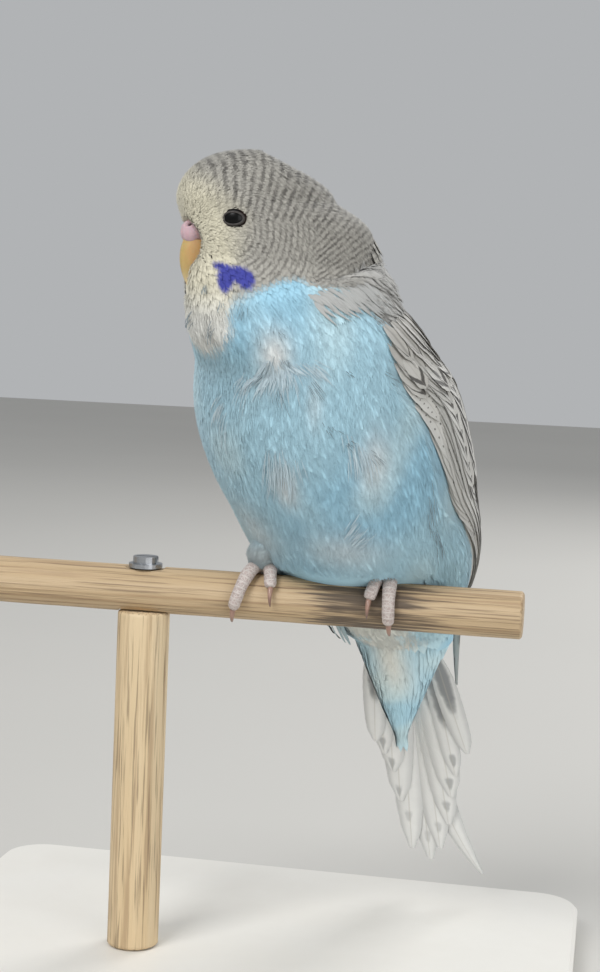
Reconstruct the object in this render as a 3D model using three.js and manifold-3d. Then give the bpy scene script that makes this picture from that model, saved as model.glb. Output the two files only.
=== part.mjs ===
// A life-size young budgerigar gripping a wooden dowel perch, on a plain display stand. Millimetres, +Z up.
// The bird and the perch are laid out from the perch: x runs along the dowel, and y = 0, z = 0 is its axis.
// The whole is then lifted and shifted, so that the origin is the middle of the base's underside.
import * as THREE from "three";
import { mergeVertices } from "three/addons/utils/BufferGeometryUtils.js";
import Module from "manifold-3d";

const wasm = await Module();
wasm.setup();

// Driving sizes
const GAP = 0.3; // between neighbouring pieces
const PERCH_RADIUS = 5;
const PERCH_LEFT = -42; // the dowel's ends, from the post's axis
const PERCH_RIGHT = 80.9;
const POST_RADIUS = 5.6;
const POST_LENGTH = 73.4;
const BASE = { length: 144, width: 104, thick: 7, corner: 10, bevel: 0.8, middleX: 23, middleY: 12 };
const SEAT_DEPTH = 0.6; // the flats that the post and the screw bear on
const SCREW = { washerRadius: 3.6, washerThick: 0.9, headRadius: 2.7, headHigh: 1.5, slotWide: 0.8, slotDeep: 0.7 };
const VANE_THICK = 0.55;
const SIDES = 28; // points round the body

// Levels of the body from the wing tips up to the brow: the middle of each, its turn from straight ahead towards
// the bird's right in degrees, its half width, and its depth to the breast and to the back.
const LEVELS = [
  { name: "tips", middle: [60.5, 51, -54], turn: 15, half: 8, breast: 3.4, back: 4 },
  { name: "tail", middle: [57.2, 38, -32.5], turn: 16, half: 10.5, breast: 4.5, back: 5 },
  { name: "root", middle: [53.8, 26, -11], turn: 18, half: 12.5, breast: 8, back: 8 },
  { name: "vent", middle: [51, 20.8, -2], turn: 20, half: 17, breast: 11, back: 11 },
  { name: "flank", middle: [48, 15.3, 8], turn: 22, half: 22, breast: 15, back: 14.5 },
  { name: "belly", middle: [43.4, 8.4, 19], turn: 24, half: 24.6, breast: 21.5, back: 17 },
  { name: "waist", middle: [40.3, 2.6, 31], turn: 26, half: 26, breast: 24.4, back: 18.3 },
  { name: "breast", middle: [35.8, -2, 43], turn: 29, half: 26.2, breast: 24.4, back: 18.2 },
  { name: "shoulder", middle: [33.7, -4.9, 54], turn: 36, half: 24, breast: 22.4, back: 19 },
  { name: "neck", middle: [31.8, -7.2, 62], turn: 45, half: 19.5, breast: 24, back: 20.8 },
  { name: "chin", middle: [29.7, -8.3, 66], turn: 51, half: 17, breast: 22.3, back: 21 },
  { name: "throat", middle: [28.8, -9.1, 70], turn: 57, half: 15.5, breast: 20.2, back: 21.1 },
  { name: "eye", middle: [27.2, -10.5, 77.5], turn: 64, half: 13.8, breast: 18.9, back: 20.4 },
  { name: "brow", middle: [22.8, -12.1, 82], turn: 66, half: 12.7, breast: 15.3, back: 16.2 },
];
const CROWN = { high: 10.3, shift: 0.7, power: 0.8, backPower: 3.1, rings: 6 };

// The face, in forward and height from the middle of the head: bowls in the plumage, a wide one round the cere
// and a narrow one round the bill
const HEAD = { x: 27, y: -10.5, turn: 65 };
const FACE_BOWLS = [
  { forward: 21.5, height: 72.8, size: [7, 14, 6.4] },
  { forward: 21.5, height: 70, size: [7.6, 4.2, 8.4] },
];
const CERE = { forward: 16.3, height: 75.4, size: [2.5, 2.9, 2.6] };
const NOSTRIL = { forward: 17.6, side: 1.75, height: 77, radius: 0.55 };
// Height, front, back and half width of the upper bill
const BILL = [
  [73.8, 18.3, 13.2, 2.5], [72, 18.8, 13.2, 2.55], [70, 18.9, 13.4, 2.4], [68.2, 18.65, 13.9, 2.1],
  [66.6, 18.15, 14.9, 1.5], [65.4, 17.6, 16.1, 0.85], [64.6, 17.2, 16.6, 0.4],
];
const LOWER_BILL = { forward: 14.9, height: 66.6, size: [2, 1.75, 2.1] };
const EYE = { level: 12.06, angle: 54.5, radius: 3, sunk: 2.5, wide: 2.3, high: 1.65, lid: 0.55 };

// The tail: its axis, the rows of its tapered core, and its feathers' tips from the outermost on the bird's right
// to the outermost on its left
const TAIL = { root: [53.8, 25.8, -11.8], tip: [59.4, 53.4, -70], turn: 15 };
// Distance down the axis, place across it, half width, depth to the belly side and to the back
const TAIL_CORE = [[0, 0, 12, 7.4, 7.6], [8, -0.6, 10, 5.6, 5.4], [17, -2, 6.8, 3.6, 3.8], [26, -3.3, 3.6, 2, 2.9],
  [33, -4, 1.3, 0.6, 2.2]];
const RECTRICES = [
  { along: 29.4, across: -10.2 }, { along: 33.2, across: -8.6 }, { along: 38.3, across: -7 },
  { along: 47.4, across: -6.3 }, { along: 62.2, across: -4.9 }, { along: 65, across: -0.6 },
  { along: 66.5, across: 12.5, bent: true }, { along: 60.5, across: 2.5 }, { along: 52, across: 5.6 },
  { along: 43, across: 7.2 }, { along: 36, across: 9 }, { along: 28.4, across: 12.6 },
];
const RECTRIX = { half: 3.1, rootAcross: 7.5, rootAlong: 3, step: 0.45 };

// The wings, at levels down the body: the angles of the belly edge and of the back edge, and the core's thickness
const WING = [
  [8.6, 100, 140, 0.6], [8.1, 97, 155, 1.3], [7.5, 94, 165, 2.8], [6.8, 93, 170, 3.8], [6, 95, 171, 3.6],
  [5, 100, 170, 3.4], [4, 107, 168, 2.7], [3, 116, 165, 2], [2.2, 125, 161, 1.3], [1.5, 132, 157, 0.7],
];
// Rows of feathers: level of the roots, length in levels, span across the wing, number and half width
const COVERTS = [
  { root: 5.7, long: 2.6, from: 0.42, to: 0.92, count: 4, half: 3.3 },
  { root: 6.6, long: 1.8, from: 0.12, to: 0.9, count: 5, half: 3.4 },
  { root: 7.4, long: 1.3, from: 0.16, to: 0.84, count: 4, half: 3.9 },
  { root: 8.1, long: 1, from: 0.24, to: 0.78, count: 3, half: 3.9 },
];
const PRIMARIES = { root: 5.2, count: 4, firstTip: 2.9, lastTip: 1.3, half: 3, rootFrom: 0.36, rootTo: 0.08 };
const SCAPULARS = { roots: [7.9, 7.1], long: 1.7, across: 0.95, half: 3.2 };
const VANE = { tilt: 0.15, rise: [-0.45, 0.45, 0.75, 0.85], shape: [0.6, 0.95, 1, 0.36] };

// The legs: where each rises from the perch, its feathered thigh, and its toes from x to x with the angle reached,
// forward over the front of the perch or backward behind it
const LEGS = [
  {
    side: "right", x: 25.8, palm: 2.9,
    thigh: [[31, -2.5, 19, 6], [28.3, -2.6, 13.6, 5], [26.6, -1.6, 9.8, 3.8], [25.9, -0.6, 7.8, 2.8]],
    toes: [
      { digit: 1, from: 26.8, to: 25, turn: -104 }, { digit: 2, from: 27.2, to: 28.6, turn: 62 },
      { digit: 3, from: 25, to: 20.8, turn: 108 }, { digit: 4, from: 24.6, to: 21.4, turn: -100 },
    ],
  },
  {
    side: "left", x: 52.7, palm: 2.7,
    thigh: [[51.4, -3, 19, 6], [52.1, -3.4, 13.6, 5.2], [52.7, -2, 9.8, 4], [52.8, -0.7, 7.8, 2.9]],
    toes: [
      { digit: 1, from: 51.8, to: 50.6, turn: -100 }, { digit: 2, from: 51.6, to: 49.4, turn: 72 },
      { digit: 3, from: 53.3, to: 53.7, turn: 118 }, { digit: 4, from: 53.8, to: 56.4, turn: -104 },
    ],
  },
];
const TOE = { radius: 1.35, tip: 1.05, sides: 6, rings: 6 };
const CLAW = { radius: 0.66, tip: 0.2, turn: 44, rise: 0.75, sides: 5, rings: 5 };

const TOES_REACH = 8.6; // from the perch's axis, clear of the toes and claws

const COLOUR = {
  grey: 0xb9b7ae, blue: 0x8fb9c6, wing: 0x9a9c96, tail: 0xd4d8d6, cere: 0xc9a4b4, bill: 0xc99a52, eye: 0x0c0a0a,
  foot: 0xb9a6a0, claw: 0x9a8076, wood: 0xc79f70, base: 0xe6e4de, steel: 0xa4a6aa,
};

const DEG = Math.PI / 180;
const UP = new THREE.Vector3(0, 0, 1);
const levelOf = Object.fromEntries(LEVELS.map((level, i) => [level.name, i]));
const middleCurve = new THREE.CatmullRomCurve3(LEVELS.map((l) => new THREE.Vector3(...l.middle)), false, "catmullrom");
const sizeCurve = new THREE.CatmullRomCurve3(
  LEVELS.map((l) => new THREE.Vector3(l.half, l.breast, l.back)), false, "catmullrom");
const turnCurve = new THREE.CatmullRomCurve3(LEVELS.map((l) => new THREE.Vector3(l.turn, 0, 0)), false, "catmullrom");

// The cross-section of the body at a level, which may lie between two of the table's.
function section(level) {
  const u = Math.min(level, LEVELS.length - 1) / (LEVELS.length - 1);
  const middle = middleCurve.getPoint(u);
  const size = sizeCurve.getPoint(u);
  const turn = turnCurve.getPoint(u).x * DEG;
  const upright = THREE.MathUtils.smoothstep(level, levelOf.shoulder, levelOf.throat);
  const axis = middleCurve.getTangent(u).lerp(UP, upright).normalize();
  const ahead = new THREE.Vector3(-Math.sin(turn), -Math.cos(turn), 0);
  const front = ahead.addScaledVector(axis, -ahead.dot(axis)).normalize();
  const left = new THREE.Vector3().crossVectors(axis, front);
  return { middle, axis, front, left, half: size.x, breast: size.y, back: size.z };
}

// A point on a section: angle 0 is the breast, 90 degrees the bird's left and 180 the back, lifted off the surface.
function around(s, degrees, lift = 0, scale = 1, backScale = 1) {
  const a = degrees * DEG;
  const depth = Math.cos(a) > 0 ? s.breast * scale : s.back * backScale;
  return s.middle.clone()
    .addScaledVector(s.left, (s.half * scale + lift) * Math.sin(a))
    .addScaledVector(s.front, (depth + lift) * Math.cos(a));
}

function ring(s, lift, scale = 1, backScale = 1) {
  return Array.from({ length: SIDES }, (_, i) => around(s, (360 * i) / SIDES, lift, scale, backScale));
}

// Rings of the body between two levels, closed over the crown if asked.
function bodyRings(from, to, count, lift = 0, crown = false) {
  const rings = Array.from({ length: count }, (_, i) => ring(section(from + ((to - from) * i) / (count - 1)), lift));
  if (crown) {
    const brow = section(LEVELS.length - 1);
    for (let i = 1; i <= CROWN.rings; i++) {
      const rise = ((90 * i) / (CROWN.rings + 0.35)) * DEG;
      const s = { ...brow, middle: brow.middle.clone() };
      s.middle.z += (CROWN.high + lift) * Math.sin(rise);
      s.middle.x += CROWN.shift * Math.sin(rise) ** 2;
      const narrow = Math.cos(rise);
      rings.push(ring(s, lift * narrow, narrow ** CROWN.power, narrow ** CROWN.backPower));
    }
  }
  return rings;
}

// Solids from points
function geometry(points, faces) {
  const made = new THREE.BufferGeometry();
  made.setAttribute("position", new THREE.Float32BufferAttribute(points.flatMap((p) => [p.x, p.y, p.z]), 3));
  made.setIndex(faces.flat());
  return made;
}

function solid(made) {
  const bare = made.clone();
  bare.deleteAttribute("normal");
  bare.deleteAttribute("uv");
  const merged = mergeVertices(bare, 1e-4);
  const build = (triVerts) => new wasm.Manifold(new wasm.Mesh({
    numProp: 3, vertProperties: merged.attributes.position.array, triVerts }));
  const found = build(new Uint32Array(merged.index.array));
  return found.volume() > 0 ? found : build(new Uint32Array(merged.index.array).reverse());
}

// A closed solid over rings of points, with a fan of faces over each end.
function loft(rings) {
  const n = rings[0].length;
  const points = rings.flat();
  const faces = [];
  for (let i = 0; i + 1 < rings.length; i++)
    for (let j = 0; j < n; j++) {
      const [a, b] = [i * n + j, i * n + ((j + 1) % n)];
      faces.push([a, b, b + n], [a, b + n, a + n]);
    }
  for (const [start, end] of [[0, false], [points.length - n, true]]) {
    const hub = points.length;
    points.push(points.slice(start, start + n).reduce((sum, p) => sum.add(p), new THREE.Vector3()).divideScalar(n));
    for (let j = 0; j < n; j++) {
      const [a, b] = [start + j, start + ((j + 1) % n)];
      faces.push(end ? [a, b, hub] : [b, a, hub]);
    }
  }
  return solid(geometry(points, faces));
}

function largest(made) {
  return made.decompose().reduce((a, b) => (a.volume() > b.volume() ? a : b));
}

function meshOf(name, made, colour, roughness = 0.8) {
  const kept = largest(made).getMesh();
  const points = new Float32Array(kept.numVert * 3);
  for (let i = 0; i < kept.numVert; i++)
    points.set(kept.vertProperties.subarray(i * kept.numProp, i * kept.numProp + 3), i * 3);
  const g = new THREE.BufferGeometry();
  g.setAttribute("position", new THREE.BufferAttribute(points, 3));
  g.setIndex(new THREE.BufferAttribute(kept.triVerts, 1));
  g.computeVertexNormals();
  const mesh = new THREE.Mesh(g, new THREE.MeshStandardMaterial({ color: colour, roughness, metalness: 0 }));
  mesh.name = name;
  return mesh;
}

// A tube along points with a radius at each; its rings keep facing along the path.
function tube(points, radii, sides) {
  const rings = [];
  let across = null;
  for (let i = 0; i < points.length; i++) {
    const along = points[Math.min(i + 1, points.length - 1)].clone().sub(points[Math.max(i - 1, 0)]).normalize();
    const start = across ?? new THREE.Vector3(Math.abs(along.x) < 0.8 ? 1 : 0, Math.abs(along.x) < 0.8 ? 0 : 1, 0);
    across = start.clone().addScaledVector(along, -start.dot(along)).normalize();
    const over = new THREE.Vector3().crossVectors(along, across);
    rings.push(Array.from({ length: sides }, (_, j) => {
      const a = (2 * Math.PI * j) / sides;
      return points[i].clone().addScaledVector(across, radii[i] * Math.cos(a)).addScaledVector(over, radii[i] * Math.sin(a));
    }));
  }
  return loft(rings);
}

// A ball stretched to three half sizes, turned about the upright
function ball(middle, size, turn, wide = 14, tall = 8) {
  const made = new THREE.SphereGeometry(1, wide, tall);
  made.rotateX(Math.PI / 2).scale(...size).rotateZ(turn).translate(middle.x, middle.y, middle.z);
  return solid(made);
}

// A feather's vane laid along points, with the surface's normal at each. It tapers to a rounded tip, is tilted a
// little about its length so that one edge rides over its neighbour, and both its faces are split the same way.
function vane(points, normals, half, tilt = 0, grow = 0) {
  const rings = points.map((p, i) => {
    const along = points[Math.min(i + 1, points.length - 1)].clone().sub(points[Math.max(i - 1, 0)]).normalize();
    const side = new THREE.Vector3().crossVectors(along, normals[i]).normalize();
    const up = new THREE.Vector3().crossVectors(side, along).normalize();
    side.applyAxisAngle(along, tilt);
    up.applyAxisAngle(along, tilt);
    const wide = half * VANE.shape[Math.round((i * (VANE.shape.length - 1)) / (points.length - 1))] + grow;
    const high = VANE_THICK / 2 + grow;
    return [[-1, 1], [1, 1], [1, -1], [-1, -1]].map(([s, h]) =>
      p.clone().addScaledVector(side, s * wide).addScaledVector(up, h * high));
  });
  const faces = [[0, 2, 1], [0, 3, 2]];
  for (let i = 0; i + 1 < rings.length; i++) {
    const [a, b] = [i * 4, i * 4 + 4];
    faces.push([a, a + 1, b + 1], [a, b + 1, b], [a + 3, b + 2, a + 2], [a + 3, b + 3, b + 2]);
    faces.push([a + 1, a + 2, b + 2], [a + 1, b + 2, b + 1], [a + 3, a, b], [a + 3, b, b + 3]);
  }
  const last = (rings.length - 1) * 4;
  faces.push([last, last + 1, last + 2], [last, last + 2, last + 3]);
  return solid(geometry(rings.flat(), faces));
}

const join = (list) => wasm.Manifold.union(list);

// The body under the feathers' outer surface, and the same grown by the gap, which its neighbours are cut with
const at = (name) => levelOf[name];
const torsoTop = at("shoulder") + 0.5;
const neckTop = at("throat") - 0.35;
const levelGap = 0.035;
const bodyClear = loft(bodyRings(at("root"), neckTop + 0.5, 28, GAP));
const perchClear = solid(new THREE.CylinderGeometry(PERCH_RADIUS + GAP, PERCH_RADIUS + GAP, 200, 40).rotateZ(Math.PI / 2));

// The head's own directions
const headTurn = HEAD.turn * DEG;
const headFront = new THREE.Vector3(-Math.sin(headTurn), -Math.cos(headTurn), 0);
const headLeft = new THREE.Vector3(Math.cos(headTurn), -Math.sin(headTurn), 0);
const headYaw = Math.atan2(headFront.y, headFront.x);
const onHead = (forward, side, height) => new THREE.Vector3(HEAD.x, HEAD.y, height)
  .addScaledVector(headFront, forward).addScaledVector(headLeft, side);
const headBall = (form, grow = 0) =>
  ball(onHead(form.forward, 0, form.height), form.size.map((s) => s + grow), headYaw);

function billRings(grow) {
  return BILL.map(([height, front, back, half], row) => Array.from({ length: 12 }, (_, i) => {
    const a = (2 * Math.PI * i) / 12;
    const middle = (front + back) / 2;
    const deep = (front - back) / 2 + 1.25 * grow;
    const level = height + (row === 0 ? grow : 0) - (row === BILL.length - 1 ? grow : 0);
    return onHead(middle + deep * Math.cos(a), (half + 1.25 * grow) * Math.sin(a) * (1 - 0.22 * Math.cos(a)), level);
  }));
}

// Eyes: a ball sunk in a socket, under a raised lid with an oval opening
function eyeOf(sign) {
  const s = section(EYE.level);
  const surface = around(s, EYE.angle * sign);
  const a = EYE.angle * sign * DEG;
  const out = s.front.clone().multiplyScalar(Math.cos(a) / s.breast).addScaledVector(s.left, Math.sin(a) / s.half).normalize();
  const middle = surface.clone().addScaledVector(out, -EYE.sunk);
  const level = new THREE.Vector3().crossVectors(UP, out).normalize();
  const up = new THREE.Vector3().crossVectors(out, level);
  const opening = new THREE.CylinderGeometry(1, 1, 6, 20).rotateX(Math.PI / 2).scale(EYE.wide, EYE.high, 1)
    .translate(0, 0, 3).applyMatrix4(new THREE.Matrix4().makeBasis(level, up, out).setPosition(middle));
  const around3 = (radius) => ball(middle, [radius, radius, radius], headYaw, 16, 10);
  return {
    ball: around3(EYE.radius),
    lid: around3(EYE.radius + GAP + EYE.lid),
    socket: around3(EYE.radius + GAP).add(solid(opening)),
  };
}

const eyes = { left: eyeOf(1), right: eyeOf(-1) };
const cere = headBall(CERE).subtract(join([-1, 1].map((side) =>
  ball(onHead(NOSTRIL.forward, side * NOSTRIL.side, NOSTRIL.height), Array(3).fill(NOSTRIL.radius), headYaw, 8, 6))));
const upperBill = loft(billRings(0)).subtract(headBall(CERE, GAP));
const lowerBill = headBall(LOWER_BILL).subtract(loft(billRings(GAP)));
const headShell = loft(bodyRings(neckTop + levelGap, at("brow"), 9, 0, true));
const faceClear = join([
  ...FACE_BOWLS.map((bowl) => headBall(bowl)), headBall(CERE, GAP), loft(billRings(GAP)), headBall(LOWER_BILL, GAP)]);
const head = join([headShell, eyes.left.lid, eyes.right.lid])
  .subtract(join([eyes.left.socket, eyes.right.socket, faceClear]));

// The tail, seen from the belly side: feathers from the outer pair in to the middle, each pair lying one step
// further back, over a tapered core of coverts
const tailRoot = new THREE.Vector3(...TAIL.root);
const tailAxis = new THREE.Vector3(...TAIL.tip).sub(tailRoot).normalize();
const tailLeft = new THREE.Vector3(Math.cos(TAIL.turn * DEG), -Math.sin(TAIL.turn * DEG), 0);
tailLeft.addScaledVector(tailAxis, -tailLeft.dot(tailAxis)).normalize();
const tailBelly = new THREE.Vector3().crossVectors(tailAxis, tailLeft);
const onTail = (along, across, out) => tailRoot.clone()
  .addScaledVector(tailAxis, along).addScaledVector(tailLeft, across).addScaledVector(tailBelly, out);

function tailParts(grow) {
  const core = loft(TAIL_CORE.map(([along, across, half, belly, back]) => Array.from({ length: 18 }, (_, i) => {
    const a = (2 * Math.PI * i) / 18;
    const deep = (Math.cos(a) > 0 ? belly : back) + grow;
    return onTail(along, across + (half + grow) * Math.sin(a), deep * Math.cos(a));
  })));
  const count = RECTRICES.length;
  const feathers = RECTRICES.map((tip, i) => {
    const place = (i - (count - 1) / 2) / ((count - 1) / 2);
    const depth = (Math.abs(place) * (count - 1) / 2 - 0.5) * RECTRIX.step - 1.2;
    const points = Array.from({ length: tip.bent ? 6 : 4 }, (_, k, count = tip.bent ? 6 : 4) => {
      const t = k / (count - 1);
      const across = THREE.MathUtils.lerp(place * RECTRIX.rootAcross, tip.across, tip.bent ? t ** 3 : t);
      return onTail(THREE.MathUtils.lerp(RECTRIX.rootAlong, tip.along, t), across, depth);
    });
    return vane(points, points.map(() => tailBelly), RECTRIX.half, 0, grow);
  });
  return [core, ...feathers];
}

// The wings: a core over the back's side, rows of coverts and secondaries, primaries, and scapulars
function wingRow(level) {
  const at = WING.findIndex((row) => row[0] <= level);
  if (at <= 0) return at < 0 ? WING[WING.length - 1] : WING[0];
  const [a, b] = [WING[at - 1], WING[at]];
  const t = (a[0] - level) / (a[0] - b[0]);
  return a.map((value, i) => THREE.MathUtils.lerp(value, b[i], t));
}

// A point on the wing: level down the body, place across from the belly edge to the back edge, height above the core
function onWing(sign, level, across, height) {
  const [, belly, back, thick] = wingRow(level);
  const swell = Math.sin(Math.PI * THREE.MathUtils.clamp(across * 0.86 + 0.1, 0, 1)) ** 0.6;
  return around(section(level), sign * THREE.MathUtils.lerp(belly, back, across), thick * swell + height);
}

function wingVane(sign, from, to, half, tilt = VANE.tilt, lift = 0) {
  const points = [];
  const normals = [];
  for (const [k, rise] of VANE.rise.entries()) {
    const t = k / (VANE.rise.length - 1);
    const level = THREE.MathUtils.lerp(from[0], to[0], t);
    const across = THREE.MathUtils.lerp(from[1], to[1], t);
    const height = rise + lift * t;
    const p = onWing(sign, level, across, height);
    const along = onWing(sign, level - 0.05, across, height).sub(p);
    const over = onWing(sign, level, across + 0.05, height).sub(p);
    points.push(p);
    normals.push(new THREE.Vector3().crossVectors(along, over).multiplyScalar(-sign).normalize());
  }
  return vane(points, normals, half, tilt * sign);
}

function wingOf(sign) {
  const rings = WING.map(([level]) => {
    const top = [0, 0.12, 0.3, 0.5, 0.7, 0.88, 1].map((across) => onWing(sign, level, across, 0));
    const bottom = [1, 0.66, 0.33, 0].map((across) => {
      const [, belly, back] = wingRow(level);
      return around(section(level), sign * THREE.MathUtils.lerp(belly, back, across), -0.8);
    });
    return [...top, ...bottom];
  });
  const feathers = [];
  for (const row of COVERTS)
    for (let i = 0; i < row.count; i++) {
      const across = THREE.MathUtils.lerp(row.from, row.to, i / (row.count - 1));
      const end = THREE.MathUtils.lerp(across, 0.55, 0.12 * row.long);
      const fade = 1 - 0.18 * Math.abs(i / (row.count - 1) - 0.5);
      feathers.push(wingVane(sign, [row.root, across], [row.root - row.long * fade, end], row.half));
    }
  for (let i = 0; i < PRIMARIES.count; i++) {
    const t = i / (PRIMARIES.count - 1);
    const tip = THREE.MathUtils.lerp(PRIMARIES.firstTip, PRIMARIES.lastTip, t);
    const root = THREE.MathUtils.lerp(PRIMARIES.rootFrom, PRIMARIES.rootTo, t);
    feathers.push(wingVane(sign, [PRIMARIES.root, root], [tip, 0.5 - 0.12 * t], PRIMARIES.half, VANE.tilt, -0.35));
  }
  for (const root of SCAPULARS.roots)
    feathers.push(wingVane(sign, [root, SCAPULARS.across], [root - SCAPULARS.long, SCAPULARS.across - 0.1],
      SCAPULARS.half, 0.05, 0.3));
  return join([loft(rings), ...feathers]);
}

// A toe wrapped round the perch, from the palm on top
function onPerch(x, angle, reach) {
  const a = angle * DEG;
  return new THREE.Vector3(x, -reach * Math.sin(a), reach * Math.cos(a));
}

function toeOf(toe, grow = 0) {
  const start = -Math.sign(toe.turn) * 8;
  const points = [];
  const radii = [];
  for (let i = 0; i < TOE.rings; i++) {
    const t = i / (TOE.rings - 1);
    const pad = 1 + 0.07 * Math.cos(t * Math.PI * 6);
    const radius = THREE.MathUtils.lerp(TOE.radius, TOE.tip, t) * pad;
    points.push(onPerch(THREE.MathUtils.lerp(toe.from, toe.to, t), THREE.MathUtils.lerp(start, toe.turn, t),
      PERCH_RADIUS + GAP + radius));
    radii.push(radius + grow);
  }
  return tube(points, radii, TOE.sides);
}

function clawOf(toe) {
  const sense = Math.sign(toe.turn);
  const slope = (toe.to - toe.from) / Math.abs(toe.turn);
  const points = [];
  const radii = [];
  for (let i = 0; i < CLAW.rings; i++) {
    const t = i / (CLAW.rings - 1);
    const radius = THREE.MathUtils.lerp(CLAW.radius, CLAW.tip, t);
    const reach = PERCH_RADIUS + GAP + 0.12 + radius + CLAW.rise * Math.sin(Math.PI * (0.2 + 0.8 * t));
    const turned = 3.4 + CLAW.turn * t;
    points.push(onPerch(toe.to + slope * turned, toe.turn + sense * turned, reach));
    radii.push(radius);
  }
  return tube(points, radii, CLAW.sides);
}

function palmOf(leg, grow = 0) {
  return ball(new THREE.Vector3(leg.x, 0.3, PERCH_RADIUS + GAP + 1.8), [leg.palm + grow, 2.3 + grow, 1.8 + grow], 0, 12, 7);
}

function footOf(leg, grow = 0) {
  const shank = [[leg.x, 0.4, 7.6], leg.thigh[2], leg.thigh[1]].map(([x, y, z]) => new THREE.Vector3(x, y, z));
  return join([palmOf(leg, grow), tube(shank, [1.7 + grow, 1.45 + grow, 1.3 + grow], 8), ...leg.toes.map((toe) => toeOf(toe, grow))]);
}

function thighOf(leg, grow = 0) {
  const rows = leg.thigh;
  const points = rows.map(([x, y, z], i) => new THREE.Vector3(x, y, z + (i === 0 ? grow : 0) - (i === 3 ? grow : 0)));
  return tube(points, rows.map((row) => row[3] + grow), 14);
}

// The stand
function cylinder(radius, from, to, x = 0, sides = 40) {
  return solid(new THREE.CylinderGeometry(radius, radius, to - from, sides).rotateX(Math.PI / 2)
    .translate(x, 0, (from + to) / 2));
}

const bird = new THREE.Group();
const add = (name, made, colour, roughness) => bird.add(meshOf(name, made, colour, roughness));

const toesClear = (leg) => solid(new THREE.CylinderGeometry(TOES_REACH, TOES_REACH, 12, 24)
  .rotateZ(Math.PI / 2).translate(leg.x - 0.4, 0, 0));
const legsClear = join(LEGS.flatMap((leg) => [thighOf(leg, GAP), palmOf(leg, GAP), toesClear(leg)]));
add("torso", loft(bodyRings(at("root"), torsoTop, 18)).subtract(join([perchClear, legsClear])), COLOUR.blue);
add("neck", loft(bodyRings(torsoTop + levelGap, neckTop, 6)).subtract(faceClear), COLOUR.grey);
add("head", head, COLOUR.grey);
add("cere", cere, COLOUR.cere, 0.5);
add("beak_upper", upperBill, COLOUR.bill, 0.4);
add("beak_lower", lowerBill, COLOUR.bill, 0.4);
add("eye_left", eyes.left.ball, COLOUR.eye, 0.1);
add("eye_right", eyes.right.ball, COLOUR.eye, 0.1);

const tail = join(tailParts(0));
const tailClear = join(tailParts(GAP));
add("tail", tail.subtract(bodyClear), COLOUR.tail);
for (const [name, sign] of [["left", 1], ["right", -1]])
  add(`wing_${name}`, wingOf(sign).subtract(join([bodyClear, tailClear])), COLOUR.wing);

for (const leg of LEGS) {
  add(`foot_${leg.side}`, footOf(leg).subtract(perchClear), COLOUR.foot, 0.7);
  add(`thigh_${leg.side}`, thighOf(leg).subtract(join([footOf(leg, GAP), perchClear])), COLOUR.grey);
  for (const toe of leg.toes)
    add(`claw_${leg.side}_${toe.digit}`, clawOf(toe), COLOUR.claw, 0.5);
}

const flat = PERCH_RADIUS - SEAT_DEPTH;
const perchBar = solid(new THREE.CylinderGeometry(PERCH_RADIUS, PERCH_RADIUS, PERCH_RIGHT - PERCH_LEFT, 40)
  .rotateZ(Math.PI / 2).translate((PERCH_LEFT + PERCH_RIGHT) / 2, 0, 0));
const seats = [[POST_RADIUS + 1, -flat - 2, -flat], [SCREW.washerRadius + 0.6, flat, flat + 2]];
add("perch", perchBar.subtract(join(seats.map(([reach, from, to]) => cylinder(reach, from, to)))), COLOUR.wood);

const baseTop = -(PERCH_RADIUS + POST_LENGTH);
add("stand_post", cylinder(POST_RADIUS, baseTop + GAP, -flat - GAP), COLOUR.wood);
const washer = cylinder(SCREW.washerRadius, flat + GAP, flat + GAP + SCREW.washerThick, 0, 28);
const headTop = flat + GAP + SCREW.washerThick + SCREW.headHigh;
const slot = solid(new THREE.BoxGeometry(SCREW.headRadius * 3, SCREW.slotWide, 2)
  .translate(0, 0, headTop - SCREW.slotDeep + 1));
add("stand_screw", join([washer, cylinder(SCREW.headRadius, flat + GAP, headTop, 0, 24)]).subtract(slot), COLOUR.steel, 0.4);

const outline = new THREE.Shape();
const [reachX, reachY, round] = [BASE.length / 2 - BASE.bevel, BASE.width / 2 - BASE.bevel, BASE.corner - BASE.bevel];
for (const [i, [x, y]] of [[1, 1], [-1, 1], [-1, -1], [1, -1]].entries())
  outline.absarc(x * (reachX - round), y * (reachY - round), round, (i * Math.PI) / 2, ((i + 1) * Math.PI) / 2);
const plinth = new THREE.ExtrudeGeometry(outline, { depth: BASE.thick - 2 * BASE.bevel, bevelSize: BASE.bevel,
  bevelThickness: BASE.bevel, bevelSegments: 1, curveSegments: 5 });
add("stand_base", solid(plinth.translate(BASE.middleX, BASE.middleY, baseTop - BASE.thick + BASE.bevel)), COLOUR.base);

const part = new THREE.Group();
bird.position.set(-BASE.middleX, -BASE.middleY, -baseTop + BASE.thick);
part.add(bird);
export default part;
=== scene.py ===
# A life-size young budgerigar gripping a wooden dowel perch on a display stand, dressed over its solids.
# Sizes are in millimetres from the perch: x runs along the dowel, and y = 0, z = 0 is its axis. Each piece is
# turned into metres, from the middle of the base's underside, where it is made.
import math

import bpy
import numpy as np
from mathutils import Matrix
from mathutils.bvhtree import BVHTree


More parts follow.
